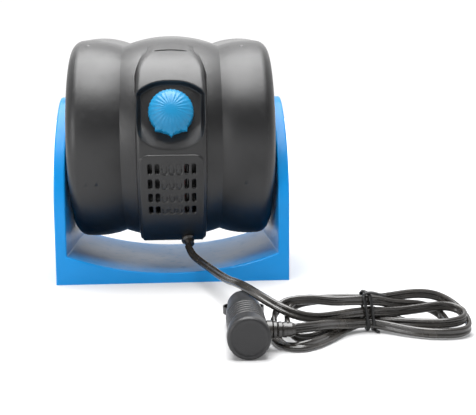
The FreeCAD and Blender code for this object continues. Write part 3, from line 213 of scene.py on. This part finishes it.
# ---- Materials ----
class Shading:
    """A small node-tree writer for one procedural material."""

    def __init__(self, name, colour, roughness, metallic=0.0, **sockets):
        self.material = bpy.data.materials.new(name)
        self.material.use_nodes = True
        self.nodes = self.material.node_tree.nodes
        self.links = self.material.node_tree.links
        self.shader = self.nodes["Principled BSDF"]
        self.shader.inputs["Base Color"].default_value = (*colour, 1.0)
        self.shader.inputs["Roughness"].default_value = roughness
        self.shader.inputs["Metallic"].default_value = metallic
        for socket, value in sockets.items():
            self.shader.inputs[socket.replace("_", " ")].default_value = value
        self.colour = None
        self.rough = None
        self.normal = None
        self.place = self.nodes.new("ShaderNodeTexCoord").outputs["Object"]

    def noise(self, scale, detail, roughness=0.5, stretch=None, seed=0.0):
        node = self.nodes.new("ShaderNodeTexNoise")
        node.noise_dimensions = "4D"
        node.inputs["W"].default_value = seed
        node.inputs["Scale"].default_value = scale
        node.inputs["Detail"].default_value = detail
        node.inputs["Roughness"].default_value = roughness
        place = self.place
        if stretch:
            mapping = self.nodes.new("ShaderNodeMapping")
            mapping.inputs["Scale"].default_value = stretch
            self.links.new(place, mapping.inputs["Vector"])
            place = mapping.outputs["Vector"]
        self.links.new(place, node.inputs["Vector"])
        return node.outputs["Fac"]

    def ramp(self, source, low, high, bottom=0.0, top=1.0):
        node = self.nodes.new("ShaderNodeMapRange")
        node.interpolation_type = "SMOOTHSTEP"
        for socket, value in (("From Min", low), ("From Max", high), ("To Min", bottom),
                              ("To Max", top)):
            node.inputs[socket].default_value = value
        self.links.new(source, node.inputs["Value"])
        return node.outputs["Result"]

    def tint(self, mask, colour):
        """Mixes another colour in where the mask is 1."""
        node = self.nodes.new("ShaderNodeMix")
        node.data_type = "RGBA"
        if self.colour is None:
            node.inputs[6].default_value = self.shader.inputs["Base Color"].default_value
        else:
            self.links.new(self.colour, node.inputs[6])
        node.inputs[7].default_value = (*colour, 1.0)
        self.links.new(mask, node.inputs[0])
        self.colour = node.outputs[2]

    def rub(self, mask, amount):
        """Adds an amount to the roughness where the mask is 1."""
        node = self.nodes.new("ShaderNodeMath")
        node.operation = "MULTIPLY_ADD"
        self.links.new(mask, node.inputs[0])
        node.inputs[1].default_value = amount
        if self.rough is None:
            node.inputs[2].default_value = self.shader.inputs["Roughness"].default_value
        else:
            self.links.new(self.rough, node.inputs[2])
        node.use_clamp = True
        self.rough = node.outputs[0]

    def bump(self, height, depth, strength=1.0):
        node = self.nodes.new("ShaderNodeBump")
        node.inputs["Strength"].default_value = strength
        node.inputs["Distance"].default_value = depth
        self.links.new(height, node.inputs["Height"])
        if self.normal is not None:
            self.links.new(self.normal, node.inputs["Normal"])
        self.normal = node.outputs["Normal"]

    def edges(self, radius):
        """A mask that is 1 on sharp edges and breaks up along them."""
        bevel = self.nodes.new("ShaderNodeBevel")
        bevel.samples = 4
        bevel.inputs["Radius"].default_value = radius
        plain = self.nodes.new("ShaderNodeNewGeometry")
        dot = self.nodes.new("ShaderNodeVectorMath")
        dot.operation = "DOT_PRODUCT"
        self.links.new(bevel.outputs["Normal"], dot.inputs[0])
        self.links.new(plain.outputs["Normal"], dot.inputs[1])
        edge = self.ramp(dot.outputs["Value"], 0.75, 0.98, 1.0, 0.0)
        patches = self.ramp(self.noise(260, 4, 0.6, seed=5.0), 0.42, 0.62)
        node = self.nodes.new("ShaderNodeMath")
        node.operation = "MULTIPLY"
        self.links.new(edge, node.inputs[0])
        self.links.new(patches, node.inputs[1])
        return node.outputs[0]

    def done(self):
        """Links what was built up to the shader, and gives the material."""
        for socket, value in (("Base Color", self.colour), ("Roughness", self.rough),
                              ("Normal", self.normal)):
            if value is not None:
                self.links.new(value, self.shader.inputs[socket])
        return self.material


def moulded(name, colour, roughness, grain, depth, worn, specks=0.25, **sockets):
    """Moulded plastic: a fine grain, uneven sheen, faint dust and rubbed edges."""
    shade = Shading(name, colour, roughness, **sockets)
    cloud = shade.noise(22, 3, 0.55)
    fine = shade.noise(grain, 2, 0.6, seed=1.0)
    shade.tint(shade.ramp(cloud, 0.35, 0.75, 0.0, 0.35), [c * 1.35 + 0.002 for c in colour])
    shade.tint(shade.ramp(shade.noise(900, 2, 0.7, seed=3.0), 0.66, 0.8, 0.0, specks), worn)
    shade.tint(shade.edges(0.0007), worn)
    shade.rub(shade.ramp(cloud, 0.3, 0.7), 0.07)
    shade.rub(shade.ramp(shade.noise(160, 5, 0.65, seed=2.0), 0.5, 0.7), 0.08)
    shade.bump(fine, depth)
    return shade.done()


def metal(name, colour, roughness, brushed, stain):
    """Worked metal: fine tool marks one way, uneven polish and faint tarnish."""
    shade = Shading(name, colour, roughness, 1.0)
    marks = shade.noise(1500, 3, 0.6, stretch=brushed)
    cloud = shade.noise(120, 4, 0.6, seed=2.0)
    shade.tint(shade.ramp(cloud, 0.5, 0.75, 0.0, 0.55), stain)
    shade.rub(shade.ramp(cloud, 0.4, 0.7), 0.14)
    shade.rub(marks, 0.06)
    shade.bump(marks, 0.00003, 0.5)
    return shade.done()


def soft_vinyl(name, colour, roughness, dust, specular=0.45):
    """Flexible vinyl or rubber: slight orange peel, dusty bloom and scuffs."""
    shade = Shading(name, colour, roughness, Specular_IOR_Level=specular)
    peel = shade.noise(1400, 3, 0.55)
    bloom = shade.noise(70, 4, 0.6, seed=2.0)
    shade.tint(shade.ramp(bloom, 0.45, 0.75, 0.0, 0.5), dust)
    shade.tint(shade.ramp(shade.noise(600, 3, 0.7, seed=4.0), 0.64, 0.74, 0.0, 0.3), dust)
    shade.rub(shade.ramp(bloom, 0.4, 0.7), 0.1)
    shade.bump(peel, 0.00012, 0.6)
    return shade.done()


def make_materials():
    """Every material that the record's slots name, and the blackened contacts' own."""
    return {
        "blue_gloss": moulded("blue_gloss", (0.001, 0.21, 0.54), 0.32, 900, 0.000004,
                              (0.01, 0.25, 0.58), 0.1, Specular_IOR_Level=0.28),
        "knob_blue": moulded("knob_blue", (0.001, 0.165, 0.34), 0.34, 1800, 0.00006,
                             (0.01, 0.24, 0.42), Specular_IOR_Level=0.38),
        "housing_black": moulded("housing_black", (0.0075, 0.0075, 0.008), 0.31, 2600,
                                 0.0001, (0.022, 0.022, 0.023)),
        "inner_black": moulded("inner_black", (0.006, 0.006, 0.0065), 0.5, 2000, 0.00008,
                               (0.05, 0.05, 0.05)),
        "plug_black": moulded("plug_black", (0.012, 0.012, 0.013), 0.36, 2400, 0.00007,
                              (0.09, 0.09, 0.09)),
        "tie_black": soft_vinyl("tie_black", (0.007, 0.007, 0.0075), 0.4, (0.05, 0.05, 0.05)),
        "cord_black": soft_vinyl("cord_black", (0.022, 0.02, 0.018), 0.2, (0.06, 0.052, 0.042),
                                 0.7),
        "soft_rubber": soft_vinyl("soft_rubber", (0.02, 0.02, 0.02), 0.7, (0.08, 0.08, 0.075)),
        "red_wire": soft_vinyl("red_wire", (0.10, 0.006, 0.005), 0.4, (0.12, 0.02, 0.02)),
        "black_wire": soft_vinyl("black_wire", (0.02, 0.02, 0.02), 0.4, (0.05, 0.05, 0.05)),
        "nickel": metal("nickel", (0.72, 0.71, 0.69), 0.2, (1, 1, 0.1), (0.45, 0.43, 0.4)),
        "dark_nickel": metal("dark_nickel", (0.06, 0.06, 0.062), 0.34, (1, 1, 0.1),
                             (0.03, 0.03, 0.03)),
        "steel": metal("steel", (0.58, 0.58, 0.6), 0.28, (0.1, 1, 1), (0.35, 0.33, 0.31)),
        "zinc_steel": metal("zinc_steel", (0.34, 0.345, 0.355), 0.42, (1, 0.3, 1),
                            (0.38, 0.38, 0.36)),
        "lamination_steel": metal("lamination_steel", (0.2, 0.2, 0.21), 0.45, (8, 1, 1),
                                  (0.12, 0.1, 0.09)),
        "copper": metal("copper", (0.7, 0.3, 0.15), 0.3, (0.2, 2, 2), (0.35, 0.13, 0.06)),
        "sintered_bronze": metal("sintered_bronze", (0.45, 0.3, 0.13), 0.5, (1, 1, 1),
                                 (0.2, 0.13, 0.06)),
        "brass": metal("brass", (0.7, 0.5, 0.2), 0.27, (1, 0.2, 1), (0.4, 0.27, 0.1)),
        "ferrite": moulded("ferrite", (0.05, 0.05, 0.053), 0.65, 1500, 0.0001,
                           (0.12, 0.12, 0.12)),
        "carbon": moulded("carbon", (0.015, 0.015, 0.016), 0.6, 2500, 0.0001, (0.07, 0.07, 0.07)),
        "white_nylon": moulded("white_nylon", (0.66, 0.64, 0.58), 0.45, 1200, 0.00006,
                               (0.75, 0.73, 0.68), Subsurface_Weight=0.1, Subsurface_Scale=0.002),
        "green_board": moulded("green_board", (0.01, 0.13, 0.04), 0.35, 900, 0.00008,
                               (0.05, 0.28, 0.12)),
        "chip_black": moulded("chip_black", (0.015, 0.015, 0.016), 0.5, 3000, 0.00008,
                              (0.08, 0.08, 0.08)),
        "fuse_glass": moulded("fuse_glass", (0.85, 0.88, 0.88), 0.06, 400, 0.00002,
                              (0.8, 0.82, 0.82), Transmission_Weight=0.9, IOR=1.5)}


def dress(materials):
    """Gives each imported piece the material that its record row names."""
    for row in frame["record"]["subparts"]:
        obj = nodes[row["node"]]
        if not obj.material_slots:
            obj.data.materials.append(None)
        for slot in obj.material_slots:
            slot.material = materials[row["material_slot"]]


# ---- Control cover: the spine with its scooped dish, brow, vents and top seam ----
# Lengths are in millimetres and angles in degrees up from the front, about the tilt axis
AXIS_HEIGHT = 100.0
SPINE_RADIUS = 81.5
SPINE_LOW, SPINE_HIGH = -66.0, 62.6
CROWN_RADIUS = 75.9
HALF_WIDTH = 24.0
END_ROUND = 2.6
KNOB_ANGLE = 15.0
DISH_FLOOR = 74.9
DISH_RISE = 15.0
PANEL_HALF, PANEL_TOP, PANEL_CORNER, PANEL_HEIGHT = 21.9, -29.8, 6.5, 0.9
VENT_HALF, VENT_REACH = 1.65, 2.1
VENT_ROWS = [-12.7 - 7.6 * k for k in range(4)]
VENT_COLUMNS = [4.95 * (k - 3) for k in range(7)]
MARKED_COLUMNS = (2, 3, 4)
SEAM_ANGLE, SEAM_RADIUS, SEAM_HALF, SEAM_DEPTH = 56.0, 76.0, 12.5, 2.4
STEP = 0.42
SKIRT = 5


def smooth(low, high, value):
    """Rises smoothly from 0 at low to 1 at high."""
    share = min(max((value - low) / (high - low), 0.0), 1.0)
    return share * share * (3 - 2 * share)


def from_axis(x, angle, radius):
    """A point at an angle up from the front, about the head's tilt axis, in metres."""
    turn = math.radians(angle)
    return Vector((x, -radius * math.cos(turn), AXIS_HEIGHT + radius * math.sin(turn))) * MM


def drum_radius(x):
    """The drum's own crown under the spine."""
    return 75.6 - 6.0 * min(abs(x) / 35.0, 1.0) ** 2


def spine_half_width(angle):
    """Half the spine's width, which narrows above the brow."""
    return HALF_WIDTH - 0.8 * smooth(24, 35, angle) - 6.8 * smooth(35, 62, angle)


def spine_radius(angle):
    """The spine's back: level round the drum, then falling to the crown above the brow."""
    return SPINE_RADIUS - (SPINE_RADIUS - CROWN_RADIUS) * smooth(24, 66, angle)


def dish_depth(x, along):
    """How far the dish is scooped out; along is the arc from the knob's axis, in mm."""
    side = abs(x)
    brow = 22.4 - 9.4 * (side / 22.8) ** 2.6
    lip = -29.6 + 13.0 * (side / 23.4) ** 2.4
    share = min(max((lip + DISH_RISE - along) / DISH_RISE, 0.0), 1.0)
    reach = (1.0 - share ** 2) * (1.0 - smooth(brow - 1.4, brow + 0.2, along))
    floor = DISH_FLOOR / math.cos(min(abs(along) / SPINE_RADIUS, math.radians(20)))
    bowl = 1.0 - smooth(20.0, HALF_WIDTH, side) * 0.9
    return max(SPINE_RADIUS - floor, 0.0) * reach * bowl


def panel_step(x, along):
    """How far the spine's face lies below the vent panel, which has round top corners."""
    across, up = abs(x) - PANEL_HALF + PANEL_CORNER, along - PANEL_TOP + PANEL_CORNER
    gap = math.hypot(max(across, 0), max(up, 0)) + min(max(across, up), 0) - PANEL_CORNER
    return PANEL_HEIGHT * smooth(-0.7, 0.7, gap) * (1.0 - smooth(-12.0, 0.0, along))


def vent_distance(x, angle):
    """How far the nearest vent's outline is, the way out of the vent, if it is only marked, and
    how far up it the point lies."""
    best = (99.0, (0, 0), False, 0.0)
    for row in VENT_ROWS:
        rise = math.radians(angle - row) * SPINE_RADIUS
        if abs(rise) > 6:
            continue
        for index, column in enumerate(VENT_COLUMNS):
            across = x - column
            if abs(across) > 4:
                continue
            over = rise - min(max(rise, -VENT_REACH), VENT_REACH)
            reach = math.hypot(across, over)
            gap = reach - VENT_HALF
            if gap < best[0]:
                away = (across / reach, over / reach) if reach > 1e-6 else (1.0, 0.0)
                best = (gap, away, index in MARKED_COLUMNS, rise)
    return best


def round_off(radius, inset):
    """How far a rounded edge has dropped, this far into the round."""
    return radius - math.sqrt(max(radius * radius - inset * inset, 0.0))


def cover_point(x, half, angle):
    """One point of the spine's face: its x, angle and radius, and whether it is in a vent."""
    along = math.radians(angle - KNOB_ANGLE) * SPINE_RADIUS
    edge = 3.4 + 2.6 * smooth(28, 60, angle)
    rise = math.radians(angle - SPINE_LOW) * SPINE_RADIUS
    turn, hole = angle, False
    radius = spine_radius(angle) - round_off(END_ROUND, max(END_ROUND - rise, 0.0))
    radius -= round_off(edge, max(edge - (half - abs(x)), 0.0)) * (
        0.82 - 0.42 * smooth(26, 60, angle))
    radius -= max(dish_depth(x * HALF_WIDTH / half, along), panel_step(x, along))
    gap, away, marked, up = vent_distance(x, angle) if angle < -6 else (99, (0, 0), 0, 0)
    if marked:
        groove, reach = (0.8, 0.6) if up < 0.4 else (0.15, 0.5)
        radius -= groove * max(1.0 - (gap / reach) ** 2, 0.0)
    elif -0.16 < gap < 0.26:
        x -= away[0] * gap
        turn -= math.degrees(away[1] * gap / SPINE_RADIUS)
    elif gap <= -0.16:
        hole = True
        radius -= 2.2
    bow = (x / SEAM_HALF) ** 2
    seam = abs(math.radians(angle - SEAM_ANGLE) * SEAM_RADIUS + 1.9 * bow)
    radius -= SEAM_DEPTH * max(1.0 - bow, 0.0) * max(1.0 - (seam / 0.9) ** 2, 0.0)
    return x, turn, radius, hole


def cover_wall(side, half, angle, radius):
    """The spine's wall on one side, from its edge down into the drum, flared above the brow."""
    wall = []
    blend = smooth(26, 60, angle)
    for k in range(1, SKIRT + 1):
        share = k / SKIRT
        flare = (4.2 * blend + 0.9 * smooth(22, 30, angle)) * share ** 1.4 + 0.25 * share
        beyond = side * (half + flare)
        drop = drum_radius(beyond) - share - radius
        wall.append((beyond, angle, radius + drop * (smooth(0, 1, share) if blend > 0.4 else share),
                     False))
    return wall


def make_control_cover():
    rows = round(math.radians(SPINE_HIGH - SPINE_LOW) * SPINE_RADIUS / STEP)
    columns = round(2 * HALF_WIDTH / STEP)
    vertices, faces, in_vent = [], [], []
    for r in range(rows + 1):
        angle = SPINE_LOW + (SPINE_HIGH - SPINE_LOW) * r / rows
        half = spine_half_width(angle)
        face = [cover_point((2.0 * c / columns - 1.0) * half, half, angle)
                for c in range(columns + 1)]
        left = cover_wall(-1, half, angle, face[0][2])
        right = cover_wall(1, half, angle, face[-1][2])
        for x, turn, radius, hole in left[::-1] + face + right:
            vertices.append(from_axis(x, turn, radius))
            in_vent.append(hole)
    width = columns + 1 + 2 * SKIRT
    for r in range(rows):
        for c in range(width - 1):
            corners = (r * width + c, r * width + c + 1, (r + 1) * width + c + 1,
                       (r + 1) * width + c)
            if not all(in_vent[k] for k in corners):
                faces.append(corners)
    start = len(vertices)
    for place in vertices[:width]:
        vertices.append(from_axis(place.x / MM * 0.985, SPINE_LOW - 0.35, 67.0))
    faces += [(start + c, start + c + 1, c + 1, c) for c in range(width - 1)]
    cover = mesh_object("control_cover_skin", vertices, faces)
    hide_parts("control_cover")
    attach(cover, "blower_head")
    return cover


# ---- Knob: a fluted dome on a ribbed rim with three pointer nubs ----
KNOB_SEAT = 75.0
# Radius and height above the seat, from the foot of the rim to the top of the dome
KNOB_RINGS = [
    (14.4, 0.0), (14.9, 0.25), (15.1, 0.9), (15.05, 1.6), (14.95, 3.2), (14.85, 4.8),
    (14.75, 6.2), (14.55, 6.9), (14.1, 7.6), (13.5, 8.5), (12.7, 9.5), (11.8, 10.4),
    (10.7, 11.2), (9.5, 11.95), (8.2, 12.6), (6.8, 13.1), (5.4, 13.45), (4.0, 13.72),
    (2.7, 13.88), (1.4, 13.97)]
KNOB_TOP = 14.0
RIM_RIBS, DOME_FLUTES = 36, 24
NUB_ANGLES = (-128.0, -90.0, -52.0)
NUB_LENGTH, NUB_HALF = 1.9, 8.5


def knob_point(radius, height, angle):
    wave = math.cos(RIM_RIBS * angle)
    rib = 0.34 * smooth(-0.1, 0.8, wave) * smooth(0.9, 1.8, height) * (
        1 - smooth(6.2, 8.2, height))
    flute = 0.17 * (0.5 - 0.5 * math.cos(DOME_FLUTES * angle)) * smooth(3.0, 7.5, radius) * (
        smooth(6.6, 8.6, height))
    nub = 0.0
    for place in NUB_ANGLES:
        off = (math.degrees(angle) - place + 180) % 360 - 180
        nub = max(nub, NUB_LENGTH * max(1 - abs(off) / NUB_HALF, 0.0) ** 0.8)
    nub *= smooth(0.6, 1.8, height) * (1 - smooth(6.4, 7.9, height))
    out = radius + rib + nub - flute * 0.5
    return Vector((out * math.cos(angle), out * math.sin(angle), height - flute))


def make_knob():
    turn = Matrix.Rotation(math.radians(90.0 - KNOB_ANGLE), 4, "X")
    seat = from_axis(0, KNOB_ANGLE, KNOB_SEAT)
    around = 432
    vertices = [knob_point(radius, height, math.tau * k / around)
                for radius, height in KNOB_RINGS for k in range(around)]
    faces = ring_faces(len(KNOB_RINGS), around)
    top, tip = len(vertices) - around, len(vertices)
    vertices += [Vector((0, 0, KNOB_TOP)), Vector((0, 0, 0))]
    faces += [(top + k, top + (k + 1) % around, tip) for k in range(around)]
    faces += [((k + 1) % around, k, tip + 1) for k in range(around)]
    knob = mesh_object("knob_dome", [seat + turn @ (v * MM) for v in vertices], faces)
    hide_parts("speed_knob")
    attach(knob, "knob")
    return knob


# ---- Twist tie: two turns of coated wire round the hank and their twisted ends ----
TIE_MIDDLE = (-192.25, 11.3)
# How far along X each turn lies at its top and at its bottom
TIE_TURNS = ((103.9, 107.3), (107.4, 110.6))
TIE_WIDTH, TIE_THICKNESS = 1.1, 0.8


def tie_turn(top, bottom):
    ring = []
    for k in range(16):
        across, up = math.sin(math.tau * k / 16), math.cos(math.tau * k / 16)
        ring.append((top + (bottom - top) * (0.5 - 0.5 * up),
                     TIE_MIDDLE[0] + 4.6 * across * (1.0 + 0.35 * abs(up)),
                     TIE_MIDDLE[1] + 10.7 * up))
    return ring


def make_twist_tie():
    first, second = [tie_turn(top, bottom) for top, bottom in TIE_TURNS]
    wire = ([(116.2, -196.6, 20.4), (112.6, -196.4, 21.4), (107.6, -195.4, 22.6)] + first[:0:-1]
            + [(104.8, -190.4, 22.4)] + second[::-1][:9]
            + [(111.0, -196.6, 1.2), (112.0, -198.6, 1.0)])
    line = follow("tie_line", wire)
    outline = []
    for k in range(10):
        angle = math.tau * k / 10
        outline.append((TIE_THICKNESS * math.cos(angle), TIE_WIDTH * math.sin(angle)))
    tie = sweep("tie_wire", line, [0.0] * len(line), outline)
    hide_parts("twist_tie")
    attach(tie, "stand")
    return tie


# ---- Plug: its end cap and its ribbed barrel with the side contacts' windows ----
PLUG_END = Vector((37.7, -238.5, 11.0))
PLUG_AXIS = Vector((0.035, 0.9992, -0.022)).normalized()
WINDOW_HALF, WINDOW_LOW, WINDOW_HIGH = 2.6, 54.9, 71.1
# Radius and height above the plug's end
PLUG_CAP = [
    (0.02, 0.45), (4.0, 0.42), (7.6, 0.34), (8.5, 0.28), (8.8, 0.1), (9.2, 0.0), (9.8, 0.15),
    (10.4, 0.55), (10.8, 1.2), (10.95, 2.2), (11.0, 4.0), (11.0, 7.8), (10.85, 8.3),
    (10.4, 8.6), (9.9, 8.7)]
BARREL_FOOT = [(9.8, 8.4), (10.5, 8.5), (10.75, 8.8), (10.75, 9.6), (10.7, 12.6), (10.55, 13.2)]
GROOVE = [(10.5, 0.0), (10.4, 0.25), (9.5, 0.55), (9.35, 1.1), (9.5, 1.65), (10.4, 1.95),
          (10.5, 2.2)]
GROOVE_LOW, GROOVE_STEP, GROOVE_COUNT = 14.0, 4.6, 6
BARREL_NOSE = [
    (10.5, 42.0), (10.4, 46.0), (10.2, 50.0), (10.0, 54.9), (9.95, 55.1), (9.8, 58.0),
    (9.6, 61.0), (9.4, 64.0), (9.3, 67.0), (9.15, 70.0), (9.05, 71.0), (9.0, 71.2),
    (8.7, 73.0), (8.1, 75.0), (7.2, 76.1)]


def make_turned(name, profile, *replaced):
    """A piece turned about the plug's axis, open where the side contacts' windows are."""
    aside = PLUG_AXIS.cross(Vector((0, 0, 1))).normalized()
    above = aside.cross(PLUG_AXIS)
    around = 96
    vertices, faces = [], []
    for radius, height in profile:
        for k in range(around):
            angle = math.tau * k / around
            vertices.append((PLUG_END + PLUG_AXIS * height + aside * (radius * math.cos(angle))
                             + above * (radius * math.sin(angle))) * MM)
    for index, face in enumerate(ring_faces(len(profile), around)):
        r, k = divmod(index, around)
        from_window = abs(profile[r][0] * math.sin(math.tau * (k + 0.5) / around))
        middle = (profile[r][1] + profile[r + 1][1]) / 2
        if from_window >= WINDOW_HALF or not WINDOW_LOW < middle < WINDOW_HIGH:
            faces.append(face)
    piece = mesh_object(name, vertices, faces)
    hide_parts(*replaced)
    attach(piece, "stand")
    return piece


def make_plug():
    grooves = [(radius, GROOVE_LOW + index * GROOVE_STEP + height)
               for index in range(GROOVE_COUNT) for radius, height in GROOVE]
    return (make_turned("plug_cap", PLUG_CAP, "plug_end_cap"),
            make_turned("plug_barrel", BARREL_FOOT + grooves + BARREL_NOSE,
                        "plug_shell_upper", "plug_shell_lower"))


# ---- Studio: a pale floor, a graded surround and three soft lights ----
SURROUND_LOW = 0.16
FLOOR_HALF = 8.0
# Name, place and size in metres, power in watts
LIGHTS = (("overhead", (-0.03, -0.12, 1.0), (0.8, 1.1), 24.0),
          ("rear", (0.0, 1.3, 0.9), (1.8, 1.0), 3.0),
          ("left", (-0.8, -0.75, 0.3), (0.3, 0.4), 3.5))


def make_surround():
    """Dark in front, bright behind, overhead and along the horizon."""
    world = bpy.data.worlds.new("studio")
    world.use_nodes = True
    make, link = world.node_tree.nodes.new, world.node_tree.links.new
    back = world.node_tree.nodes["Background"]
    split = make("ShaderNodeSeparateXYZ")
    link(make("ShaderNodeTexCoord").outputs["Generated"], split.inputs[0])
    strength = None
    for axis, low, high, top in (("Y", -0.45, 0.15, 1.05), ("Z", 0.55, 0.9, 0.8),
                                 ("Z", 0.32, 0.12, 0.68)):
        node = make("ShaderNodeMapRange")
        for socket, value in (("From Min", low), ("From Max", high), ("To Min", SURROUND_LOW),
                              ("To Max", top)):
            node.inputs[socket].default_value = value
        link(split.outputs[axis], node.inputs["Value"])
        if strength is None:
            strength = node.outputs["Result"]
        else:
            brighter = make("ShaderNodeMath")
            brighter.operation = "MAXIMUM"
            link(strength, brighter.inputs[0])
            link(node.outputs["Result"], brighter.inputs[1])
            strength = brighter.outputs[0]
    link(strength, back.inputs["Strength"])
    back.inputs["Color"].default_value = (1, 1, 1, 1)
    scene.world = world


def make_floor():
    """A matt floor that glows with distance, so that it ends in plain white."""
    low, high = -FLOOR_HALF, FLOOR_HALF
    corners = [(low, low, 0), (high, low, 0), (high, high, 0), (low, high, 0)]
    floor = mesh_object("floor", corners, [(0, 1, 2, 3)], False)
    shade = Shading("floor", (0.52, 0.52, 0.525), 0.7, Specular_IOR_Level=0.2,
                    Emission_Color=(1.0, 1.0, 1.0, 1.0))
    shade.rub(shade.ramp(shade.noise(3, 2), 0.3, 0.7), 0.05)
    away = shade.nodes.new("ShaderNodeVectorMath")
    away.operation = "LENGTH"
    shade.links.new(shade.place, away.inputs[0])
    shade.links.new(shade.ramp(away.outputs["Value"], 0.3, 1.1, 0.1, 1.0),
                    shade.shader.inputs["Emission Strength"])
    floor.data.materials.append(shade.done())


def make_lights():
    for name, place, size, power in LIGHTS:
        data = bpy.data.lights.new(name, "AREA")
        data.shape = "RECTANGLE"
        data.size, data.size_y = size
        data.energy = power
        light = bpy.data.objects.new(name, data)
        light.location = place
        aim = Vector((0, 0, -1)) if name == "overhead" else Vector((0, 0, 0.08)) - Vector(place)
        light.rotation_euler = aim.to_track_quat("-Z", "Y").to_euler()
        scene.collection.objects.link(light)


materials = make_materials()
dress(materials)
make_surround()
make_floor()
make_lights()
aim_camera()
scene.view_settings.view_transform = "Standard"
scene.view_settings.look = "None"

make_control_cover().data.materials.append(materials["housing_black"])
make_knob().data.materials.append(materials["knob_blue"])
make_twist_tie().data.materials.append(materials["tie_black"])
for piece in make_plug():
    piece.data.materials.append(materials["plug_black"])
for name in ("side_contact_left", "side_contact_right"):
    for slot in nodes[name].material_slots:
        slot.material = materials["dark_nickel"]

# The lead, from its exit in the head
lead, lead_line, lead_length = make_lead()
lead.data.materials.append(materials["cord_black"])
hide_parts("cord_lead", "cord_tail", "cord_hank")
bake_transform(lead)
